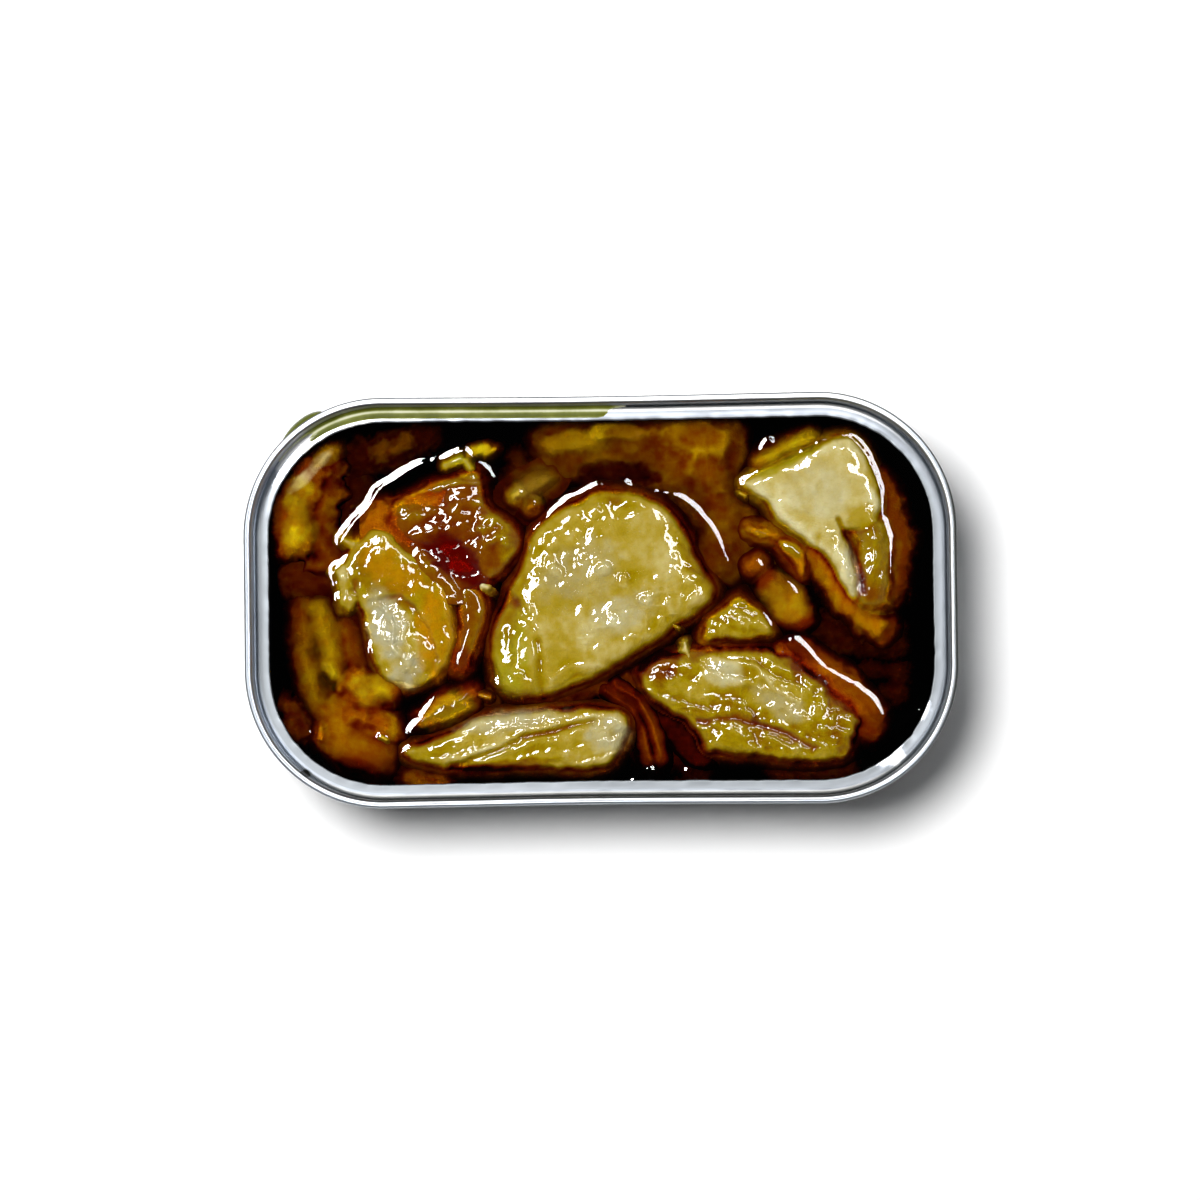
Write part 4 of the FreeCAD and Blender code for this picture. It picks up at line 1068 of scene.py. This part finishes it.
def make_oil():
    """Oil: a top surface over the tin's rounded outline, sides just into the wall, and a flat bottom.

    A row of the top runs across the tin at one y, as long as the outline is there.
    """
    half_x, half_y, corner = (side - OIL_EDGE for side in (TIN_LENGTH / 2, TIN_WIDTH / 2, TIN_CORNER))
    columns, rows = int(2 * half_x / OIL_STEP), int(2 * half_y / OIL_STEP)
    even = np.linspace(-1, 1, rows)
    y = half_y * np.sin(even * math.pi / 2 * 0.999) * 0.4 + half_y * even * 0.6
    over = np.maximum(np.abs(y) - (half_y - corner), 0)
    reach = half_x - corner + np.sqrt(np.maximum(corner**2 - over**2, 0))
    x = np.linspace(-1, 1, columns)[None, :] * reach[:, None]
    y = np.broadcast_to(y[:, None], x.shape)
    rise = creeping_oil()
    mark_bare(rise)
    top = OIL_LEVEL + looked_up(rise, x, y)
    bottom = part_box("oil")[0].z / MM
    upper = np.stack([x, y, top], axis=-1).reshape(-1, 3)
    lower = np.stack([x, y, np.full(x.shape, bottom + 0.6)], axis=-1)
    index = np.arange(rows * columns).reshape(rows, columns)
    quads = np.stack([index[:-1, :-1], index[:-1, 1:], index[1:, 1:], index[1:, :-1]], axis=-1).reshape(-1, 4)
    border = border_of(index)
    ring = lower.reshape(-1, 3)[border]
    first, count = len(upper), len(border)
    around = np.arange(count)
    side = np.stack([border, first + around, first + (around + 1) % count, np.roll(border, -1)], axis=-1)
    points = np.vstack([upper, ring])
    faces = quads.tolist() + side.tolist() + [list(range(first, first + count))[::-1]]
    smooth = [True] * len(quads) + [False] * (len(faces) - len(quads))
    pool = put_mesh("oil_pool", points, faces, smooth, OIL_FINISH)
    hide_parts("oil")


make_oil()

# ---------------------------------------------------------------- tin

RIM_STEPS = 960  # points along the rim
FINE_STEPS = 4000  # points along the edge from which the rim oil's are chosen
FILM_LONG, FILM_WIDE = 420, 22  # points along and across the rim's oil film
SHEET = 0.22  # thickness
JOIN = 0.04  # length of the short run on either side of a bend
BOW = 0.25  # how far the long sides are drawn in at their middle
PANEL = 25.49  # height of the middle of what is left of the panel
# places, how far the panel's torn edge is lifted there, and over what reach
TILTS = [(-45.5, 21.5, 0.22, 9), (43, -22.5, -0.10, 2.4), (47, -17.5, -0.07, 3), (36, -27, -0.06, 3)]
# places, depth and reach of nicks in the torn edge
TEARS = [(44.7, -19.8, 0.42, 0.5), (41.9, -22.6, 0.24, 0.35), (38.4, -24.6, 0.2, 0.3), (48.2, -8, 0.12, 0.7)]
KINK = (46.6, -22.3)
# run along the sheet from its hidden hook, and painted shade there on the right, back, left and front sides,
# set for each side as the light falls on it:
# 1 painted dark shade, 0 plain, -1 painted white highlight
PAINTED_SHADE_TABLES = [
    [(0, 0.6), (4.75, 0.7), (5.15, 1), (5.48, 0.9), (5.6, -0.4), (5.95, -0.6), (6.05, 0.7), (9.7, 0.7),
     (10.5, 0.6), (10.62, 0.45), (11.2, 0.55), (11.6, 0.65), (11.9, 0.7), (12.2, 0.8)],
    [(0, 0.6), (4.75, 0.6), (4.95, 1), (5.15, 1), (5.24, -1), (5.8, -1), (5.92, 0.5), (9.4, 0.8), (9.8, 0.7),
     (10.1, 0.3), (10.35, 0.1), (10.45, -1), (10.95, -1), (11.1, 0.2), (11.5, 0.1), (11.7, -0.3),
     (12.2, 0.5)],
    [(0, 0.6), (4.75, 0.5), (5.05, 0.8), (5.2, 0.7), (5.5, 0.4), (5.8, 0), (6.1, 0), (6.4, -0.35),
     (9.75, -0.1), (10.1, 0.1), (10.5, 0.6), (11.2, 0.75), (11.7, 0.7), (11.8, 0.2), (11.95, 0.4),
     (12.2, 0.8)],
    [(0, 0.6), (4.75, 0.2), (5, 0.2), (5.2, 0.35), (5.5, 0.3), (5.62, -0.9), (5.88, -0.9), (6, 1), (10.1, 1),
     (10.25, 0.4), (10.38, -1), (10.8, -1), (10.95, 0.6), (11.5, 0.75), (11.8, 0.65), (12.2, 0.75)],
]
# places on the ring, change of painted shade there and reach: painted highlights where it falls, and one dark
# speck of dirt where it rises
PAINTED_GLINT_AND_DIRT_SPOTS = [(-45, 21, -0.8, 3.6), (-39, 25.2, -0.8, 5), (-32, 26.8, -0.6, 4.5), (42, -22.8, -1.4, 2),
         (47.1, -16.5, -1.3, 1.3), (-43.6, -24.8, 1.4, 0.45)]


def tin_edge(count):
    """Even places and outward normals along the tin's outer edge: a rounded rectangle, long sides bowed."""
    quarter = np.linspace(0, math.pi / 2, 60)
    arcs = []
    for turn, side_x, side_y in ((0, 1, 1), (1, -1, 1), (2, -1, -1), (3, 1, -1)):
        angle = quarter + turn * math.pi / 2
        arcs.append(np.stack([side_x * (TIN_LENGTH / 2 - TIN_CORNER) + TIN_CORNER * np.cos(angle),
                              side_y * (TIN_WIDTH / 2 - TIN_CORNER) + TIN_CORNER * np.sin(angle)], axis=1))
    edge = evenly(np.vstack(arcs), count)
    along = np.clip(edge[:, 0] / (TIN_LENGTH / 2 - TIN_CORNER / 2), -1, 1)
    on_long_side = np.abs(edge[:, 1]) > TIN_WIDTH / 4
    edge[:, 1] -= np.sign(edge[:, 1]) * BOW * np.cos(along * math.pi / 2) ** 2 * on_long_side
    return edge, outward(edge)


def bent(corners, bends, counts, last):
    """Middle line of bent sheet: straight runs, and at each corner an arc of given radius and point count.

    Each arc has a point just before and after it, and the last run is divided into equal parts.
    """
    corners = np.array(corners, float)
    line = [corners[:1]]
    for before, corner, after, radius, count in zip(corners, corners[1:], corners[2:], bends, counts):
        back, ahead = ((place - corner) / np.linalg.norm(place - corner) for place in (before, after))
        opening = math.acos(back @ ahead)
        bisector = (back + ahead) / np.linalg.norm(back + ahead)
        centre = corner + bisector * radius / math.sin(opening / 2)
        reach = radius / math.tan(opening / 2)
        start = corner + back * reach - centre
        side = math.copysign(1.0, back[0] * ahead[1] - back[1] * ahead[0])
        angle = -side * np.linspace(0, math.pi - opening, count)
        arc = centre + np.stack([start[0] * np.cos(angle) - start[1] * np.sin(angle),
                                 start[0] * np.sin(angle) + start[1] * np.cos(angle)], axis=1)
        line += [arc[:1] + JOIN * back, arc, arc[-1:] + JOIN * ahead]
    line = np.vstack(line)
    share = np.append(np.linspace(0, 1, last)[1:-1], [0.985, 1.0])[:, None]
    return np.vstack([line, line[-1] + share * (corners[-1] - line[-1])])


def both_faces(line):
    """Closed section of a sheet about its middle line, and the run along the line at each of its points.

    The under side has every second point.
    """
    along = np.gradient(line, axis=0)
    normal = np.stack([along[:, 1], -along[:, 0]], axis=1)
    normal *= SHEET / 2 / np.linalg.norm(normal, axis=1, keepdims=True)
    run = np.concatenate([[0], np.cumsum(np.linalg.norm(np.diff(line, axis=0), axis=1))])
    return np.vstack([line + normal, (line - normal)[::-2]]), np.concatenate([run, run[::-2]])


def end_ring():
    """What is left of the peeled end: hook, seam, groove and a strip of panel with a torn edge.

    The section is carried round the tin: each of its points lies at its inset from the outer edge.
    """
    torn_edge = (TIN_LENGTH - 97.3) / 2 - 0.12
    corners = [(0.61, 28.01), (0.61, 26.01), (0.11, 26.01), (0.11, 28.89), (0.97, 28.89), (1.10, 25.01),
               (1.40, 25.01), (1.72, PANEL), (torn_edge, PANEL - 0.05)]
    radii, counts = [0.24, 0.24, 0.42, 0.42, 0.15, 0.25, 0.40], [4, 4, 9, 9, 5, 6, 7]
    section, run = both_faces(bent(corners, radii, counts, 7))
    edge, normal = tin_edge(RIM_STEPS)
    inset, height = section[:, :1], section[:, 1:]
    run = run[:, None]
    girth = np.linalg.norm(np.roll(edge, -1, axis=0) - edge, axis=1).sum()
    around = np.arange(RIM_STEPS) / RIM_STEPS * 2 * math.pi
    circle = flat3(girth / 2 / math.pi * np.cos(around), girth / 2 / math.pi * np.sin(around))
    on_panel = np.clip((inset - 1.9) / 1.6, 0, 1) * (run > 10)
    at_tear = step_between(-0.7, 0.0, run - run.max())
    at_crown = step_between(4.8, 5.4, run) * step_between(6.6, 5.6, run)
    tear, tilt = 0.05 * rough_lumps(circle, 1.6, 6, 3), 0.02 * lump(circle, 11.0, 8)
    for x, y, depth, reach in TEARS:
        tear = tear - depth * np.exp(-(np.hypot(edge[:, 0] - 3.5 * normal[:, 0] - x,
                                                edge[:, 1] - 3.5 * normal[:, 1] - y) / reach) ** 2)
    for x, y, lift, reach in TILTS:
        tilt = tilt + lift * np.exp(-(np.hypot(edge[:, 0] - x, edge[:, 1] - y) / reach) ** 2)
    kink = np.exp(-(np.hypot(edge[:, 0] - KINK[0], edge[:, 1] - KINK[1]) / 0.5) ** 2)
    inset = (inset + 0.03 * lump(circle, 14.0, 3) + at_tear * tear
             + at_crown * (0.01 * lump(circle, 5.0, 4) + 0.16 * kink))
    height = (height + 0.03 * lump(circle + 50, 16.0, 5) + on_panel * tilt + 0.6 * at_tear * tear
              - 0.1 * at_crown * kink)
    inset, height = np.maximum(inset, 0.0), np.minimum(height, TIN_HEIGHT)
    x = edge[:, 0] - inset * normal[:, 0]
    y = edge[:, 1] - inset * normal[:, 1]
    strip = np.broadcast_to(circle, (len(section), RIM_STEPS, 3)).copy()
    strip[..., 2] = run
    # Painted shading: each point takes the side tables by how far it faces each side, then the painted
    # highlights and the dirt speck of the spots.
    facing = [np.maximum(side, 0) ** 2 for side in (normal[:, 0], normal[:, 1], -normal[:, 0], -normal[:, 1])]
    painted_shading_and_dirt = sum(share * np.interp(run, *zip(*table)) for share, table in zip(facing, PAINTED_SHADE_TABLES))
    for spot_x, spot_y, change, reach in PAINTED_GLINT_AND_DIRT_SPOTS:
        away = np.hypot(x - spot_x, y - spot_y) / reach + 0.3 * rough_lumps(flat3(x, y, height), 1.5, 7)
        from_run = 10.2 if change < 0 else 6.0
        painted_shading_and_dirt = painted_shading_and_dirt + change * step_between(1.2, 0.8, away) * (run > from_run)
    piece = put_piece("end_ring_sheet", flat3(x, y, height).reshape(-1, 3),
                      ring_faces(len(section), RIM_STEPS), RIM_FINISH,
                      {"shade": painted_shading_and_dirt.ravel()}, {"strip": strip.reshape(-1, 3)})
    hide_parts("end_ring")


def slab(top, bottom):
    """Points and quads of a closed slab between two grids of the same shape."""
    rows, columns = top.shape[:2]
    upper = np.arange(rows * columns).reshape(rows, columns)
    quads = []
    for index, turn in ((upper, 1), (upper + rows * columns, -1)):
        corners = [index[:-1, :-1], index[1:, :-1], index[1:, 1:], index[:-1, 1:]][::turn]
        quads.append(np.stack(corners, axis=-1).reshape(-1, 4))
    border = border_of(upper)
    ahead = np.roll(border, -1)
    quads.append(np.stack([border, ahead, ahead + rows * columns, border + rows * columns], axis=-1))
    return np.vstack([top.reshape(-1, 3), bottom.reshape(-1, 3)]), np.concatenate(quads)


def rim_stretch(start, end, count):
    """Even places and outward normals along the outer edge, anticlockwise from one place to another."""
    edge, normal = tin_edge(FINE_STEPS)
    first, last = (int(np.argmin(np.hypot(edge[:, 0] - x, edge[:, 1] - y))) for x, y in (start, end))
    last += 0 if last > first else FINE_STEPS
    chosen = np.linspace(first, last, count).round().astype(int) % FINE_STEPS
    return edge[chosen], normal[chosen]


def rim_film():
    """Oil left on the rim: it fills the groove along the back, thins over the bead, where a painted pale
    highlight runs along it, and ends at a slant.
    """
    edge, normal = rim_stretch((4.0, 30.0), (-47.8, 21.6), FILM_LONG)
    share = np.linspace(0, 1, FILM_LONG)[:, None]
    across = np.linspace(0, 1, FILM_WIDE)[None, :]
    inset = 1.06 + 1.96 * across
    height = np.interp(inset, [1.06, 1.2, 1.45, 1.8, 2.2, 2.75, 3.02],
                       [26.1, 25.75, 25.66, 25.65, 25.74, 25.70, 25.5])
    wander = lump(flat3(share * 50, across * 2), 2.0, 21)
    ends = (step_between(0.0, 0.05, share - 0.03 * across - 0.01 * wander)
            * step_between(1.0, 0.88, share + 0.06 * (1 - across)))
    height = 25.2 + (height - 25.2) * ends + 0.02 * wander * ends
    x, y = (edge[:, None, axis] - inset * normal[:, None, axis] for axis in (0, 1))
    low = np.broadcast_to(np.where(inset < 1.7, 25.0, 25.45), x.shape)
    points, faces = slab(flat3(x, y, np.maximum(height, low + 0.01)), flat3(x, y, low))
    # The value kept here is highest in a pale band over the bead, a painted highlight; elsewhere it follows
    # where the oil thins.
    thin = np.interp(inset, [1.06, 1.15, 1.5, 1.7, 1.78, 2.0, 2.15, 2.6, 3.02],
                     [0.7, 0.25, 0.1, 0.5, 1.0, 0.9, 0.2, 0.0, 0.8]) + 0.15 * wander
    values = {"thin": np.tile((1 - (1 - thin) * ends).ravel(), 2)}
    put_piece("rim_oil_film", points, faces, FILM_FINISH, values)


def rim_drip():
    """A bead of oil that hangs outside the seam at one corner: a long low bulge along the edge."""
    edge, normal = rim_stretch((-40.4, 28.4), (-46.6, 23.6), 60)
    share = np.linspace(-1, 1, 60)[:, None]
    around = np.linspace(-math.pi / 2, math.pi / 2, 16)[None, :]
    swelling = np.sqrt(np.maximum(1 - share**2, 0)) * (1 - 0.25 * share)
    out = 1.05 * swelling * np.cos(around) - 0.25
    height = 27.0 + 1.2 * np.sin(around) * (0.4 + 0.6 * swelling)
    outer, inner = ([edge[:, None, axis] + reach * normal[:, None, axis] for axis in (0, 1)]
                    for reach in (out, 0 * out - 0.4))
    points, faces = slab(flat3(*outer, height), flat3(*inner, height))
    values = {"thin": np.tile(np.broadcast_to(0.35 * (1 - swelling), out.shape).ravel(), 2)}
    put_piece("rim_oil_drip", points, faces, FILM_FINISH, values)


end_ring()
rim_film()
rim_drip()
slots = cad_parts["can_body"].data.materials
slots.clear()
slots.append(BODY_FINISH)

# ---------------------------------------------------------------- floor, light and camera


def make_floor():
    """Plain white floor that keeps the tin's shadow."""
    finish = Finish("floor_white")
    white = finish.add("ShaderNodeBsdfDiffuse", {}, {"Color": (0.93, 0.93, 0.93)})
    bpy.ops.mesh.primitive_plane_add(size=6.0, location=(0, 0, -0.0002))
    floor = bpy.context.object
    floor.name = "floor"
    floor.data.materials.append(finish.surface(white))


def make_lamp(name, azimuth, elevation, size, power, glints):
    """Soft lamp that looks at the tin from a metre away; azimuth runs from +X towards +Y.

    It makes either the glints or the plain light and shadow.
    """
    data = bpy.data.lights.new(name, "AREA")
    data.shape = "RECTANGLE" if glints else "ELLIPSE"
    data.size, data.size_y = size
    data.energy = power
    lamp = bpy.data.objects.new(name, data)
    lamp.visible_diffuse, lamp.visible_glossy = not glints, glints
    bpy.context.scene.collection.objects.link(lamp)
    turn, lift = math.radians(azimuth), math.radians(elevation)
    direction = Vector((math.cos(lift) * math.cos(turn), math.cos(lift) * math.sin(turn), math.sin(lift)))
    lamp.location = direction
    lamp.rotation_euler = direction.to_track_quat("Z", "Y").to_euler()


def make_world():
    """Pale room: bright walls and a dark ceiling light the tin, and the camera sees plain white."""
    room = Finish("studio", "World")
    where = room.add("ShaderNodeTexCoord").outputs["Generated"]
    height = room.add("ShaderNodeSeparateXYZ", {}, {0: where}).outputs["Z"]
    walls = room.ramp(height, [(place, (grey,) * 3) for place, grey in
                               ((0.0, 0.17), (0.45, 0.17), (0.80, 0.03), (1.0, 0.01))])
    lit = room.add("ShaderNodeBackground", {}, {"Color": walls})
    white = room.add("ShaderNodeBackground", {}, {"Color": (1.0, 1.0, 1.0)})
    seen = room.add("ShaderNodeLightPath").outputs["Is Camera Ray"]
    bpy.context.scene.world = room.surface(room.add("ShaderNodeMixShader", {}, {0: seen, 1: lit, 2: white}))


def make_camera():
    """Camera almost straight above, a little towards the front right, rolled so that the tin sits level."""
    width = 175.4 * MM
    lens, film = 170.0, 36.0
    distance = width * lens / film
    azimuth, elevation, roll = math.radians(45), math.radians(87.6), math.radians(0.7)
    back = Vector((math.sin(azimuth) * math.cos(elevation), -math.cos(azimuth) * math.cos(elevation),
                   math.sin(elevation)))
    up = Vector((math.sin(roll), math.cos(roll), 0.0))
    side = up.cross(back).normalized()
    up = back.cross(side)
    data = bpy.data.cameras.new("camera")
    data.lens, data.sensor_width = lens, film
    camera = bpy.data.objects.new("camera", data)
    bpy.context.scene.collection.objects.link(camera)
    target = Vector((0, 0, TIN_HEIGHT * MM))
    place = Matrix((side, up, back)).transposed().to_4x4()
    place.translation = target + back * distance
    camera.matrix_world = place
    data.clip_end = 10.0
    bpy.context.scene.camera = camera


make_floor()
make_world()
make_lamp("soft_light", 138, 78.5, (0.30, 0.30), 11.8, glints=False)
make_lamp("long_glints", 146, 64.5, (0.56, 0.14), 15.0, glints=True)
make_lamp("side_glints", 44, 65, (0.62, 0.12), 5.6, glints=True)
make_camera()
bpy.context.scene.view_settings.view_transform = "Standard"
